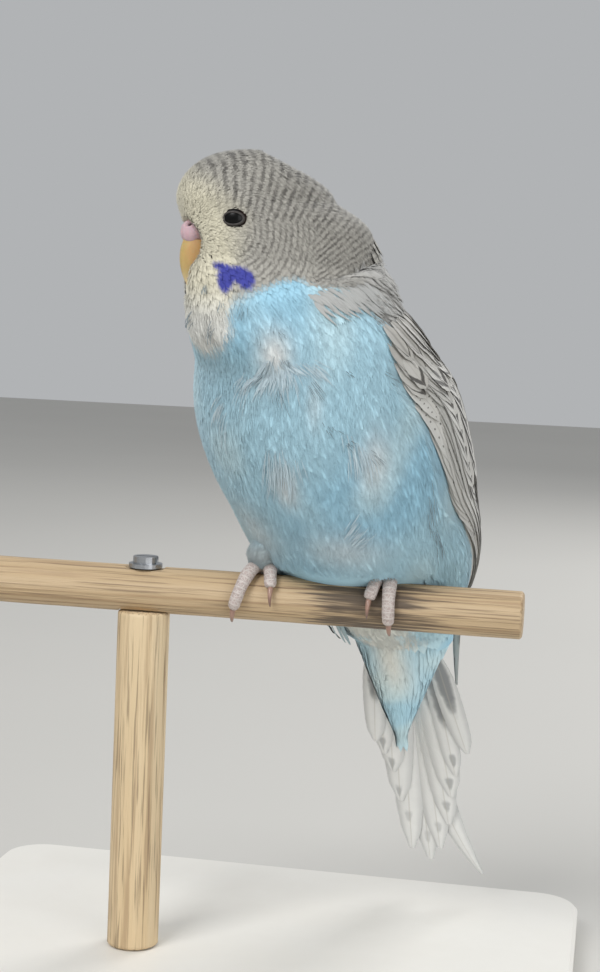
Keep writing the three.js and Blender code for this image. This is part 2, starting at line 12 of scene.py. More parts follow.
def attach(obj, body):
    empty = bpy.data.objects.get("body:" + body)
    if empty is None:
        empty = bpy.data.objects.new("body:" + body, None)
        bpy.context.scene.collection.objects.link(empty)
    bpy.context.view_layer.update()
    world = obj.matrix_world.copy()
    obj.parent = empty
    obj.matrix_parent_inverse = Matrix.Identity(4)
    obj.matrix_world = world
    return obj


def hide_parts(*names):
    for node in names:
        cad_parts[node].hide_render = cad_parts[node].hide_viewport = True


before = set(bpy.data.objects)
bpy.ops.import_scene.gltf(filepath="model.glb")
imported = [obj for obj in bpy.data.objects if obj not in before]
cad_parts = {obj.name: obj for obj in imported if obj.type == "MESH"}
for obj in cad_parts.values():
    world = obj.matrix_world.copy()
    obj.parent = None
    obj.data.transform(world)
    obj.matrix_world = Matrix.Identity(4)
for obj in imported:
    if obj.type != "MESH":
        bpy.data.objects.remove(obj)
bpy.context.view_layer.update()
rng = np.random.default_rng(23)

# Where the perch's axis lies in the part's own frame
OFFSET = np.array([-23.0, -12.0, 85.4])

# The part's own sizes, but for a slimmer nape, tail core and right thigh, a fuller back of the crown and
# thicker toes. Levels of the body: x, y and z of the middle, turn towards the bird's right, half width, and
# depth to the breast and to the back
LEVELS = np.array([
    [60.5, 51, -54, 15, 8, 3.4, 4], [57.2, 38, -32.5, 16, 10.5, 4.5, 5], [53.8, 26, -11, 18, 12.5, 8, 8],
    [51, 20.8, -2, 20, 17, 11, 11], [48, 15.3, 8, 22, 22, 15, 14.5], [43.4, 8.4, 19, 24, 24.6, 21.5, 17],
    [40.3, 2.6, 31, 26, 26, 24.4, 18.3], [35.8, -2, 43, 29, 26.2, 24.4, 18.2],
    [33.7, -4.9, 54, 36, 24, 22.4, 19], [31.8, -7.2, 62, 45, 19.5, 24, 20.8],
    [29.7, -8.3, 66, 51, 17, 22.3, 21], [28.8, -9.1, 70, 57, 15.5, 20.2, 20.7],
    [27.2, -10.5, 77.5, 64, 13.8, 18.9, 19.7], [22.8, -12.1, 82, 66, 12.7, 15.3, 16.7]])
BROW = len(LEVELS) - 1
SHOULDER, THROAT = 8, 11
CROWN = {"high": 10.3, "shift": 0.7, "power": 0.8, "back_power": 3.1}
HEAD = {"place": np.array([27.0, -10.5, 0.0]), "turn": 65}
FACE_BOWLS = [{"forward": 21.5, "height": 72.8, "size": [7, 14, 6.4]},
              {"forward": 21.5, "height": 70, "size": [7.6, 4.2, 8.4]}]
CERE = {"forward": 16.3, "height": 75.4, "size": [2.5, 2.9, 2.6]}
NOSTRIL = {"forward": 17.6, "side": 1.75, "height": 77, "radius": 0.55}
# Height, front, back and half width of the upper bill
BILL = np.array([
    [73.8, 18.3, 13.2, 2.5], [72, 18.8, 13.2, 2.55], [70, 18.9, 13.4, 2.4], [68.2, 18.65, 13.9, 2.1],
    [66.6, 18.15, 14.9, 1.5], [65.4, 17.6, 16.1, 0.85], [64.6, 17.2, 16.6, 0.4]])
LOWER_BILL = {"forward": 14.9, "height": 66.6, "size": [2, 1.75, 2.1]}
EYE = {"level": 12.06, "angle": 54.5, "radius": 3, "sunk": 2.5, "bare": (2.3, 1.45)}
TAIL = {"root": np.array([53.8, 25.8, -11.8]), "tip": np.array([59.4, 53.4, -70.0]), "turn": 15}
# Distance down the tail, place across it, half width, depth to the belly side and to the back
TAIL_CORE = np.array([[0, -0.8, 11, 7.4, 7.4], [8, -1.8, 8.2, 5.6, 5.2], [16, -2.9, 5.4, 3.6, 3.6],
                      [22, -3.5, 3.2, 2.4, 2.9], [27, -3.9, 1.5, 1.2, 2.2]])
# The tail feathers' tips down and across the tail, from the outermost on the bird's right
RECTRICES = [(29.4, -10.2), (33.2, -8.6), (38.3, -7), (47.4, -6.3), (62.2, -4.9), (65, -0.6), (66.5, 12.5),
             (60.5, 2.5), (52, 5.6), (43, 7.2), (36, 9), (28.4, 12.6)]
BENT = 6
RECTRIX = {"half": 3.1, "root_across": 7.5, "root_along": 3, "step": 0.45}
# Levels down the wing: the angles of its belly edge and back edge, and its thickness
WING = np.array([
    [8.6, 100, 140, 0.6], [8.1, 97, 155, 1.3], [7.5, 94, 165, 2.8], [6.8, 93, 170, 3.8], [6, 95, 171, 3.6],
    [5, 100, 170, 3.4], [4, 107, 168, 2.7], [3, 116, 165, 2], [2.2, 125, 161, 1.3], [1.5, 132, 157, 0.7]])
PERCH = {"radius": 5, "left": -42, "right": 80.9}
POST = {"radius": 5.6, "top": -4.7, "foot": -78.1}
SEAT = 4.4
# Thighs as x, y, z and radius, and toes as digit, x from and to, and the angle reached round the perch
LEGS = {
    "right": {
        "x": 25.8, "palm": 2.9,
        "thigh": [[32.6, -1.4, 19, 5.0], [29.2, -2.3, 13.6, 4.4],
                  [26.6, -1.6, 9.8, 3.8], [25.9, -0.6, 7.8, 2.8]],
        "toes": [[1, 26.8, 25, -104], [2, 27.2, 28.6, 62], [3, 25, 20.8, 108], [4, 24.6, 21.4, -100]]},
    "left": {
        "x": 52.7, "palm": 2.7,
        "thigh": [[51.4, -3, 19, 6], [52.1, -3.4, 13.6, 5.2], [52.7, -2, 9.8, 4], [52.8, -0.7, 7.8, 2.9]],
        "toes": [[1, 51.8, 50.6, -100], [2, 51.6, 49.4, 72], [3, 53.3, 53.7, 118], [4, 53.8, 56.4, -104]]},
}
TOE = {"radius": 1.5, "tip": 1.15}
CLAW = {"radius": 0.66, "tip": 0.2, "turn": 44, "rise": 0.75}


# Small helpers for rows of points
def unit(v):
    return v / np.maximum(np.linalg.norm(v, axis=-1, keepdims=True), 1e-9)


def dot(a, b):
    return (a * b).sum(-1)


def smoothstep(x, low, high):
    t = np.clip((np.asarray(x, float) - low) / (high - low), 0, 1)
    return t * t * (3 - 2 * t)


def blend(a, b, t):
    return a + (b - a) * t


def bell(x, middle, width):
    return np.exp(-((x - middle) / width) ** 2)


def wash(under, over, share):
    """Lays one colour over another by a share at each place."""
    return blend(under, over, share[..., None])


def from_breast(degrees):
    """How far round from the breast an angle lies, on either side: 0 to 180."""
    return np.abs(((degrees + 180) % 360) - 180)


def wing_row(u):
    """Where the wing starts and ends round the body at a level, and how thick it is."""
    return [np.interp(u, WING[::-1, 0], WING[::-1, k]) for k in (1, 2, 3)]


def colour(code):
    parts = np.array([int(code[i:i + 2], 16) for i in (0, 2, 4)]) / 255
    return np.where(parts <= 0.04045, parts / 12.92, ((parts + 0.055) / 1.055) ** 2.4)


def ripple(points, size, seed=0.0):
    """A soft wandering value about 0, over lengths of about size."""
    p = points / size
    total = np.sin(p[..., 0] * 1.3 + 1.7 * np.sin(p[..., 2] * 0.9 + seed) + seed)
    total = total + np.sin(p[..., 2] * 1.1 + 1.9 * np.sin(p[..., 1] * 0.8 - seed) + 2.1 * seed)
    return (total + np.sin((p[..., 0] + p[..., 1] - p[..., 2]) * 0.7 + 3.3 * seed)) / 3


# The body's outer surface, from the tail's root up to the crown
def spline(table, u):
    u = np.clip(u, 0, len(table) - 1)
    i = np.minimum(np.floor(u).astype(int), len(table) - 2)
    t = (u - i)[..., None]
    ends = np.vstack([2 * table[0] - table[1], table, 2 * table[-1] - table[-2]])
    before, a, b, after = ends[i], ends[i + 1], ends[i + 2], ends[i + 3]
    leave = (b - before) / 2
    reach = (after - a) / 2
    cubed = 2 * a - 2 * b + leave + reach
    squared = 3 * b - 3 * a - 2 * leave - reach
    return cubed * t ** 3 + squared * t ** 2 + leave * t + a


def section(u):
    u = np.clip(u, 0, BROW)
    row = spline(LEVELS, u)
    step = spline(LEVELS, np.minimum(u + 1e-3, BROW)) - spline(LEVELS, np.maximum(u - 1e-3, 0))
    upright = smoothstep(u, SHOULDER, THROAT)[..., None]
    axis = unit(unit(step[..., :3]) * (1 - upright) + np.array([0, 0, 1.0]) * upright)
    turn = np.radians(row[..., 3])
    ahead = np.stack([-np.sin(turn), -np.cos(turn), 0 * turn], -1)
    front = unit(ahead - axis * dot(ahead, axis)[..., None])
    return row[..., :3], front, np.cross(axis, front), row[..., 4], row[..., 5], row[..., 6]


def around(u, degrees, lift=0.0):
    """A point on the body at a level: angle 0 is the breast, 90 the bird's left and 180 the back."""
    u, degrees, lift = np.broadcast_arrays(*[np.asarray(v, float) for v in (u, degrees, lift)])
    middle, front, left, half, breast, back = section(u)
    angle = np.radians(degrees)
    rise = math.pi / 2 * np.clip(u - BROW, 0, 0.998)
    middle = middle.copy()
    middle[..., 2] += (CROWN["high"] + lift) * np.sin(rise)
    middle[..., 0] += CROWN["shift"] * np.sin(rise) ** 2
    narrow = np.cos(rise)
    scale = narrow ** CROWN["power"]
    out = lift * narrow
    depth = np.where(np.cos(angle) > 0, breast * scale, back * narrow ** CROWN["back_power"])
    across = left * ((half * scale + out) * np.sin(angle))[..., None]
    return middle + across + front * ((depth + out) * np.cos(angle))[..., None]


def coat_depth(u):
    """How far the skin lies inside the solids."""
    return blend(1.2, 0.7, smoothstep(u, 9.5, 11.3))


# The head's own directions
head_turn = math.radians(HEAD["turn"])
head_front = np.array([-math.sin(head_turn), -math.cos(head_turn), 0])
head_left = np.array([math.cos(head_turn), -math.sin(head_turn), 0])
UP = np.array([0, 0, 1.0])


def on_head(forward, side, height):
    forward, side, height = [v[..., None] for v in np.broadcast_arrays(forward, side, height)]
    return HEAD["place"] + head_front * forward + head_left * side + UP * height


def from_head(points):
    rel = points - HEAD["place"]
    return dot(rel, head_front), dot(rel, head_left), rel[..., 2]


def ball_reach(points, form):
    """Below 1 inside the stretched ball, 1 on it."""
    forward, side, height = from_head(points)
    rel = np.stack([forward - form["forward"], side, height - form["height"]], -1)
    return np.sqrt(((rel / form["size"]) ** 2).sum(-1))


def carve(points):
    """Points inside the bowls round the cere and the bill are pushed back onto them."""
    for bowl in FACE_BOWLS:
        middle = on_head(bowl["forward"], 0.0, bowl["height"])
        reach = ball_reach(points, bowl)[..., None]
        points = np.where(reach < 1, middle + (points - middle) / np.maximum(reach, 0.05), points)
    return points


# Meshes
def grid_faces(rows, columns, closed=False):
    i, j = np.meshgrid(np.arange(rows - 1), np.arange(columns if closed else columns - 1), indexing="ij")
    a = (i * columns + j).ravel()
    b = (i * columns + (j + 1) % columns).ravel()
    return np.stack([a, b, b + columns, a + columns], 1)


def piece(name, form, material, slot, *replaces):
    """One mesh object riding on the part, from points, arrays of faces, and what the points carry."""
    points, faces, carried = form
    uv, normals = carried.get("uv"), carried.get("normals")
    mesh = bpy.data.meshes.new(name)
    co = ((np.asarray(points, float).reshape(-1, 3) + OFFSET) / 1000).astype(np.float32)
    faces = [np.asarray(f) for f in faces if len(f)]
    corners = np.concatenate([f.ravel() for f in faces]).astype(np.int32)
    sizes = np.concatenate([np.full(len(f), f.shape[1]) for f in faces])
    mesh.vertices.add(len(co))
    mesh.vertices.foreach_set("co", co.ravel())
    mesh.loops.add(len(corners))
    mesh.loops.foreach_set("vertex_index", corners)
    mesh.polygons.add(len(sizes))
    mesh.polygons.foreach_set("loop_start", np.concatenate([[0], np.cumsum(sizes)[:-1]]).astype(np.int32))
    mesh.polygons.foreach_set("use_smooth", np.ones(len(sizes), bool))
    mesh.update(calc_edges=True)
    if uv is not None:
        layer = mesh.uv_layers.new(name="OFBake")
        layer.data.foreach_set("uv", np.clip(uv[corners], 0.001, 0.999).astype(np.float32).ravel())
    for key, values in carried.items():
        values = np.asarray(values, np.float32)
        if key in ("uv", "normals"):
            continue
        if values.ndim == 1:
            mesh.attributes.new(key, "FLOAT", "POINT").data.foreach_set("value", values)
        elif key == "tint":
            full = np.concatenate([values, np.ones((len(values), 1), np.float32)], 1)
            mesh.attributes.new(key, "FLOAT_COLOR", "POINT").data.foreach_set("color", full.ravel())
        else:
            mesh.attributes.new(key, "FLOAT_VECTOR", "POINT").data.foreach_set("vector", values.ravel())
    if normals is not None:
        mesh.normals_split_custom_set_from_vertices(normals.astype(np.float32))
    mesh.materials.append(material)
    made = bpy.data.objects.new(name, mesh)
    bpy.context.scene.collection.objects.link(made)
    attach(made, "root")
    if replaces:
        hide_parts(*replaces)
    return made


def joined(parts):
    """Several (points, faces, attributes) as one, with the faces of each renumbered."""
    points, faces, attributes = [], {}, {}
    start = 0
    for part_points, part_faces, part_attributes in parts:
        part_points = np.asarray(part_points, float).reshape(-1, 3)
        points.append(part_points)
        for f in part_faces:
            f = np.asarray(f)
            if len(f):
                faces.setdefault(f.shape[1], []).append(f + start)
        for key, values in part_attributes.items():
            attributes.setdefault(key, []).append(values)
        start += len(part_points)
    return (np.concatenate(points), [np.concatenate(f) for f in faces.values()],
            {key: np.concatenate(values) for key, values in attributes.items()})


def closed_loft(rings):
    """Points and faces over closed rings (rows, corners, 3), with a fan over each end."""
    rows, corners = rings.shape[:2]
    points = np.concatenate([rings.reshape(-1, 3), [rings[0].mean(0), rings[-1].mean(0)]])
    j = np.arange(corners)
    first = np.stack([(j + 1) % corners, j, np.full(corners, rows * corners)], 1)
    last = (rows - 1) * corners
    end = np.stack([last + j, last + (j + 1) % corners, np.full(corners, rows * corners + 1)], 1)
    return points, [grid_faces(rows, corners, True), np.concatenate([first, end])]


def tube(path, radii, corners, squash=None):
    """A closed tube along a path. squash gives other radii across the first direction."""
    path = np.asarray(path, float)
    along = unit(np.gradient(path, axis=0))
    across = np.empty_like(path)
    start = np.array([1.0, 0, 0]) if abs(along[0, 0]) < 0.8 else np.array([0, 1.0, 0])
    for i in range(len(path)):
        start = unit(start - along[i] * dot(start, along[i]))
        across[i] = start
    over = np.cross(along, across)
    angle = np.linspace(0, 2 * math.pi, corners, endpoint=False)
    wide = np.asarray(radii if squash is None else squash)[:, None, None]
    high = np.asarray(radii)[:, None, None]
    rings = path[:, None] + across[:, None] * wide * np.cos(angle)[None, :, None]
    return closed_loft(rings + over[:, None] * high * np.sin(angle)[None, :, None])


def ellipsoid(middle, size, axes, wide=48, tall=32):
    """Points, outward directions and faces of a stretched ball whose axes are the rows of axes."""
    polar = np.linspace(0, math.pi, tall)[1:-1]
    turn = np.linspace(0, 2 * math.pi, wide, endpoint=False)
    p, t = np.meshgrid(polar, turn, indexing="ij")
    rings = np.stack([np.sin(p) * np.cos(t), np.sin(p) * np.sin(t), -np.cos(p)], -1)
    points, faces = closed_loft(rings)
    points[-2:] = [[0, 0, -1], [0, 0, 1]]
    return middle + (points * size) @ axes, points, faces


# Finishes
class Value:
    """A number in a material: sums written with it add nodes."""

    def __init__(self, finish, socket):
        self.finish = finish
        self.socket = socket

    def __add__(self, other):
        return self.finish.math("ADD", self, other)

    def __sub__(self, other):
        return self.finish.math("SUBTRACT", self, other)

    def __rsub__(self, other):
        return self.finish.math("SUBTRACT", other, self)

    def __mul__(self, other):
        return self.finish.math("MULTIPLY", self, other)

    def __pow__(self, other):
        return self.finish.math("POWER", self, other)

    def __abs__(self):
        return self.finish.math("ABSOLUTE", self)

    def sine(self):
        return self.finish.math("SINE", self)

    def larger(self, other):
        return self.finish.math("MAXIMUM", self, other)

    def step(self, low, high, start=0.0, end=1.0):
        """Runs smoothly from start to end while the number runs from low to high."""
        inputs = {"Value": self, "From Min": low, "From Max": high, "To Min": start, "To Max": end}
        made = self.finish.add("ShaderNodeMapRange", inputs, interpolation_type="SMOOTHSTEP")
        return Value(self.finish, made.outputs["Result"])

    def near(self, middle, low, high):
        """1 where the number is within low of the middle, falling to 0 at high."""
        return abs(self - middle).step(low, high, 1.0, 0.0)


class Finish:
    """A procedural material, built node by node onto its shader."""

    def __init__(self, name, roughness, **sockets):
        self.material = bpy.data.materials.new(name)
        self.material.use_nodes = True
        self.tree = self.material.node_tree
        self.shader = self.tree.nodes["Principled BSDF"]
        self.shader.inputs["Roughness"].default_value = roughness
        for key, value in sockets.items():
            self.shader.inputs[key.replace("_", " ")].default_value = value
        self.place = self.add("ShaderNodeTexCoord").outputs["Object"]

    def add(self, kind, inputs=None, **settings):
        node = self.tree.nodes.new(kind)
        for key, value in settings.items():
            setattr(node, key, value)
        for key, value in (inputs or {}).items():
            self.feed(node.inputs[key], value)
        return node

    def feed(self, socket, value):
        if isinstance(value, Value):
            value = value.socket
        if isinstance(value, str):
            value = colour(value)
        if isinstance(value, bpy.types.NodeSocket):
            self.tree.links.new(value, socket)
        elif socket.type == "RGBA":
            socket.default_value = (*value, 1)
        else:
            socket.default_value = value

    def math(self, operation, a, b=0.0):
        return Value(self, self.add("ShaderNodeMath", {0: a, 1: b}, operation=operation).outputs[0])

    def mix(self, factor, a, b, how="MIX"):
        node = self.add("ShaderNodeMix", data_type="RGBA", blend_type=how)
        for k, value in ((0, factor), (6, a), (7, b)):
            self.feed(node.inputs[k], value)
        return node.outputs[2]

    def noise(self, scale, detail=3.0, stretch=(1, 1, 1)):
        mapped = self.add("ShaderNodeMapping", {"Vector": self.place, "Scale": stretch}).outputs[0]
        made = self.add("ShaderNodeTexNoise", {"Vector": mapped, "Scale": scale, "Detail": detail})
        return Value(self, made.outputs[0])

    def attribute(self, name, output="Fac"):
        return Value(self, self.add("ShaderNodeAttribute", attribute_name=name).outputs[output])

    def parts(self, name):
        """The three numbers of a vector that the points carry."""
        outputs = self.add("ShaderNodeSeparateXYZ", {0: self.attribute(name, "Vector")}).outputs
        return [Value(self, outputs[k]) for k in range(3)]

    def base(self, value):
        self.feed(self.shader.inputs["Base Color"], value)

    def rough(self, value):
        self.feed(self.shader.inputs["Roughness"], value)

    def bump(self, height, distance, strength):
        inputs = {"Height": height, "Distance": distance / 1000, "Strength": strength}
        self.feed(self.shader.inputs["Normal"], self.add("ShaderNodeBump", inputs).outputs[0])


def plumage():
    """Feathers whose colour is carried by their points, with bars, scallops and fine barbs, and painted shade
    darkening each feather towards its root.
    """
    made = Finish("plumage_coat", 0.78, Sheen_Weight=0.25, Sheen_Roughness=0.45)
    across, along, chance = made.parts("blade")
    fan, ring, above = made.parts("mark")
    bars, scallops, _ = made.parts("strength")
    wander = (made.noise(600) - 0.5) * 2.6 + (chance - 0.5) * 2.0
    fan = (fan + wander).sine().step(-0.3, 0.5)
    ring = (ring + wander).sine().step(-0.1, 0.7)
    barred = (fan * above + ring * (1.0 - above)) * bars * made.noise(520).step(0.35, 0.62, 0.35, 1.0)
    crescent = along.near(0.86 - across * across * 0.3, 0.03, 0.09)
    dark = barred.larger(crescent * (scallops * 0.75))
    barbs = (along * 70.0 - abs(across) * 16.0).sine()
    # The step along each feather is painted shade: each feather is darker at its root, where the feathers
    # lying over it would shade it.
    light = barbs * 0.03 + chance * 0.07 + along.step(-0.1, 0.6, 0.9, 0.96)
    shade = made.add("ShaderNodeCombineColor", {0: light, 1: light, 2: light}).outputs[0]
    tinted = made.mix(1.0, made.attribute("tint", "Color"), shade, "MULTIPLY")
    made.base(made.mix(dark * 0.66, tinted, "3a3734"))
    made.bump(barbs, 0.03, 0.4)
    return made.material


# How the plumage is coloured and marked at any place on the bird
BLUE = colour("b0d8e8")
BLUE_DEEP = colour("9acbe2")
BLUE_PALE = colour("cbe6ec")
WHITE = colour("eef0ee")
GREY = colour("aba8a0")
CREAM = colour("d9d3bc")
MANTLE = colour("a6a5a1")
VENT = blend(WHITE, CREAM, 0.45)
VIOLET = colour("3a3f9c")
DOWN = colour("a3b2b6")

# Level of the edge between head and breast plumage, at each angle from the breast
BIB_ANGLES = [0, 15, 25, 35, 45, 56, 70, 79, 85, 95, 101, 112, 180]
BIB_LEVELS = [8.75, 8.9, 9.25, 9.65, 9.9, 10.1, 10.4, 10.4, 9.6, 9.0, 8.2, 7.6, 3.2]
# Pale partings in the breast and belly: place, reach across and up, strength
PARTINGS = [
    ([31.9, -27.6, 51.5], 3.2, 4.6, 1.0), ([33.8, -21.2, 25.1], 2.4, 6, 0.85),
    ([51.5, -21.2, 31], 3.0, 6, 0.75), ([45.5, -16.1, 12], 8, 4, 0.6),
    ([25.4, -8.8, 14], 6, 7, 0.5), ([40, -27, 42], 1.6, 6, 0.35)]
# Violet cheek spots, as forward, height and half sizes
CHEEK = [(13.1, 68.6, 0.9, 0.6), (12.0, 66.2, 1.25, 2.6), (10.0, 67.0, 2.0, 1.6), (8.2, 66.0, 1.5, 1.9)]
# Where the bars of the crown fan out from, and what the bars below the eye circle, as forward and height
FAN = (11.0, 57.0)
RING = (12.6, 75.6)


def markings(points, u, degrees):
    """Colours, the phases of the two patterns of bars with the share of the first, and the strengths of bars
    and scallops, at places on the body, head and neck."""
    angle = from_breast(degrees)
    forward, side, height = from_head(points)
    soft = ripple(points, 3.0, 1.0)
    head = smoothstep(u - np.interp(angle, BIB_ANGLES, BIB_LEVELS) + 0.15 * soft, -0.2, 0.2)
    back = smoothstep(angle, 108, 135) * (1 - smoothstep(u, 10.4, 11.4))

    body = wash(BLUE, BLUE_DEEP, 0.8 * smoothstep(ripple(points, 9.0, 2.0), -0.4, 0.7))
    body = wash(body, BLUE_PALE, 0.6 * smoothstep(ripple(points * [1.6, 1.6, 0.7], 5.5, 5.0), 0.0, 0.9))
    for place, wide, high, strength in PARTINGS:
        rel = points - np.array(place)
        flat = np.hypot(rel[..., 0], rel[..., 1])
        body = wash(body, WHITE, strength * bell(flat, 0, wide) * bell(rel[..., 2], 0, high))
    flank = smoothstep(angle, 42, 80) * (degrees < 0) * (1 - smoothstep(u, 5.6, 7.2))
    body = wash(body, DOWN, 0.6 * flank)
    vent = (1 - smoothstep(u, 3.0, 4.2)) * (1 - smoothstep(angle, 18, 38))
    body = wash(body, VENT, 0.9 * vent)

    near = np.sqrt(((forward - 17.5) / 1.2) ** 2 + side ** 2 + ((height - 72.5) / 1.15) ** 2)
    face = 1 - smoothstep(near + 1.2 * soft, 11.0, 16.0)
    bib = (1 - smoothstep(angle, 26, 44)) * (1 - smoothstep(u, 10.6, 11.6))
    cream = np.clip(face + bib, 0, 1)
    low = smoothstep(height, 66, 56)
    crown = wash(GREY, MANTLE, smoothstep(angle, 80, 110) * (1 - smoothstep(u, 9.6, 11)))
    crown = wash(crown, wash(CREAM, WHITE, 0.75 * low), 0.95 * cream)
    for f, h, wide, high in CHEEK:
        inside = ((forward - f) / wide) ** 2 + ((height - h) / high) ** 2
        spot = (1 - smoothstep(inside + 0.3 * soft, 0.8, 1.3)) * (np.abs(side) > 5)
        crown = wash(crown, VIOLET, spot)
        cream = np.maximum(cream, spot)
    tint = wash(body, crown, head)

    spoke = np.arctan2(FAN[0] - forward, height - FAN[1])
    fan = 104 * spoke + 38 * np.maximum(spoke - 0.35, 0) ** 2 + 1.1 * ripple(points, 4.5, 6.0)
    out = np.hypot(forward - RING[0], height - RING[1])
    ring = 5.4 * out + 1.1 * ripple(points, 4.5, 6.0)
    above = np.maximum(smoothstep(height + 0.08 * forward, 76.6, 78.4), smoothstep(-forward, 3, 6.5))
    bars = head * (1 - np.clip(1.25 * cream - 0.1, 0, 1))
    bars = bars * smoothstep(u, 9.3, 10.6) * smoothstep(out, 2.2, 4.2)
    bars = np.maximum(bars, 0.4 * smoothstep(height, 77, 81) * (1 - smoothstep(forward, 14, 17.5)))
    bars = bars * blend(0.75, 1.0, above) * blend(1.0, 0.8, smoothstep(-forward, 4, 14))
    scallops = head * smoothstep(angle, 70, 100) * (1 - smoothstep(u, 9.6, 11.0))
    scallops = np.maximum(scallops, back * smoothstep(u, 3.4, 4.6))
    bars = bars * (1 - 0.6 * scallops)
    return tint, np.stack([fan, ring, above], -1), np.stack([bars, scallops, 0 * bars], -1)


def unmarked(points, tint):
    """One colour or a row of them, without bars or scallops."""
    none = np.zeros((len(points), 3))
    return np.broadcast_to(tint, (len(points), 3)), none, none


# Beds: surfaces that feathers are laid over
class Bed:
    def __init__(self, *forms):
        points, polygons, facing = [], [], []
        start = 0
        for form_points, form_faces in forms:
            normals = np.zeros_like(form_points)
            for group in form_faces:
                corners = form_points[group]
                flat = np.cross(corners[:, 1] - corners[:, 0], corners[:, 2] - corners[:, 0])
                for k in range(group.shape[1]):
                    np.add.at(normals, group[:, k], flat)
            inward = dot(normals, form_points - form_points.mean(0)).mean() < 0
            normals = unit(-normals if inward else normals)
            for group in form_faces:
                polygons.extend((group + start).tolist())
                facing.append(unit(normals[group].mean(1)))
            points.append(form_points)
            start += len(form_points)
        self.tree = BVHTree.FromPolygons(np.concatenate(points).tolist(), polygons)
        self.normals = np.concatenate(facing)

    def nearest(self, points):
        found = [self.tree.find_nearest(p) for p in points.tolist()]
        return np.array([tuple(f[0]) for f in found]), self.normals[[f[2] for f in found]]

    def march(self, roots, heads, lengths, steps):
        """The middle lines (steps, count, 3) of feathers laid from their roots, and the normals there."""
        place, heading = roots, heads
        line, normals = [], []
        for _ in range(steps):
            found, normal = self.nearest(place)
            heading = unit(heading - normal * dot(heading, normal)[:, None])
            line.append(found)
            normals.append(normal)
            place = found + heading * (lengths / (steps - 1))[:, None]
        return np.array(line), np.array(normals)


def blades(line, normals, half, shape, lift, thick):
    """Thin closed feathers along their middle lines: rings of left edge, right edge and ridge, and a point.
    They are shaded with the bed's own normals, a little arched across, so that they read as one soft coat."""
    arch = 0.3
    steps, count = line.shape[:2]
    line = line + normals * lift
    along = unit(np.gradient(line, axis=0))
    side = unit(np.cross(normals, along))
    wide = side * (half[None, :, None] * np.asarray(shape)[:, None, None])
    rings = np.stack([line - wide, line + wide, line + normals * thick], 2)
    rings[:, :, :2] -= (normals * thick * 0.35)[:, :, None]
    facing = np.stack([unit(normals - side * arch), unit(normals + side * arch), normals], 2)
    last = 3 * (steps - 1)

    def by_feather(stack, tip):
        body = stack[:-1].transpose(1, 0, 2, 3).reshape(count, last, 3)
        return np.concatenate([body, tip[:, None]], 1)
    points, facing = by_feather(rings, line[-1]), by_feather(facing, normals[-1])
    quads = []
    for i in range(steps - 2):
        a, b = 3 * i, 3 * i + 3
        quads += [[a, b, b + 2, a + 2], [a + 2, b + 2, b + 1, a + 1], [a + 1, b + 1, b, a]]
    e = last - 3
    tris = [[0, 2, 1], [e, last, e + 2], [e + 2, last, e + 1], [e + 1, last, e]]
    starts = (np.arange(count) * (last + 1))[:, None, None]
    t = np.repeat(np.linspace(0, 1, steps)[:-1], 3)
    across = np.tile([-1.0, 1.0, 0.0], steps - 1)
    blade = np.stack([np.append(across, 0), np.append(t, 1), np.zeros(last + 1)], 1)
    blade = np.broadcast_to(blade, (count, last + 1, 3)).copy()
    faces = [(np.array(quads)[None] + starts).reshape(-1, 4)] if quads else []
    return points, faces + [(np.array(tris)[None] + starts).reshape(-1, 3)], blade, facing.reshape(-1, 3)


# The skin: the body's surface drawn in by the coat's depth
SKIN_ROWS, SKIN_COLUMNS = 230, 241
skin_u = np.concatenate([np.linspace(2.02, 12.93, SKIN_ROWS - 40), 13 + np.linspace(0.06, 0.997, 40)])
skin_angle = np.linspace(-180, 180, SKIN_COLUMNS)
grid_u, grid_angle = [g.ravel() for g in np.meshgrid(skin_u, skin_angle, indexing="ij")]
skin_points = carve(around(grid_u, grid_angle, -coat_depth(grid_u)))
skin_faces = [grid_faces(SKIN_ROWS, SKIN_COLUMNS)]
skin_marks = markings(carve(around(grid_u, grid_angle)), grid_u, grid_angle)
BODY_UV = [0.02, 0.10, 0.76, 0.88]  # left, bottom, width and height of the body in the unwrap


def body_uv(u, degrees):
    across = ((degrees + 180) % 360) / 360
    return np.stack([BODY_UV[0] + BODY_UV[2] * across, BODY_UV[1] + BODY_UV[3] * (u - 2) / 12], -1)


skin_across = BODY_UV[0] + BODY_UV[2] * (grid_angle + 180) / 360
skin_uv = np.stack([skin_across, BODY_UV[1] + BODY_UV[3] * (grid_u - 2) / 12], 1)


def tail_frame():
    axis = unit(TAIL["tip"] - TAIL["root"])
    turn = math.radians(TAIL["turn"])
    left = np.array([math.cos(turn), -math.sin(turn), 0])
    left = unit(left - axis * dot(left, axis))
    return axis, left, np.cross(axis, left)


tail_axis, tail_left, tail_belly = tail_frame()


def on_tail(along, across, out):
    along, across, out = np.broadcast_arrays(*[np.asarray(v, float)[..., None] for v in (along, across, out)])
    return TAIL["root"] + tail_axis * along + tail_left * across + tail_belly * out


def tail_core(depth):
    rows = np.linspace(0, len(TAIL_CORE) - 1, 40)
    table = np.stack([np.interp(rows, np.arange(len(TAIL_CORE)), TAIL_CORE[:, k]) for k in range(5)], 1)
    angle = np.linspace(0, 2 * math.pi, 48, endpoint=False)
    along, across, half, belly, back = [table[:, k:k + 1] for k in range(5)]
    deep = np.maximum(np.where(np.cos(angle) > 0, belly, back) - depth, 0.3)
    sideways = across + np.maximum(half - depth, 0.3) * np.sin(angle)
    return on_tail(along + 0 * angle, sideways, deep * np.cos(angle))


def thigh_rings(rows, depth):
    table = spline(np.array(rows, float), np.linspace(0, len(rows) - 1, 26))
    return tube(table[:, :3], np.maximum(table[:, 3] - depth, 0.8), 36)


core_points, core_faces = closed_loft(tail_core(0.9))
thighs = {side: thigh_rings(leg["thigh"], 0.9) for side, leg in LEGS.items()}
body_bed = Bed((skin_points, skin_faces), (core_points, core_faces))


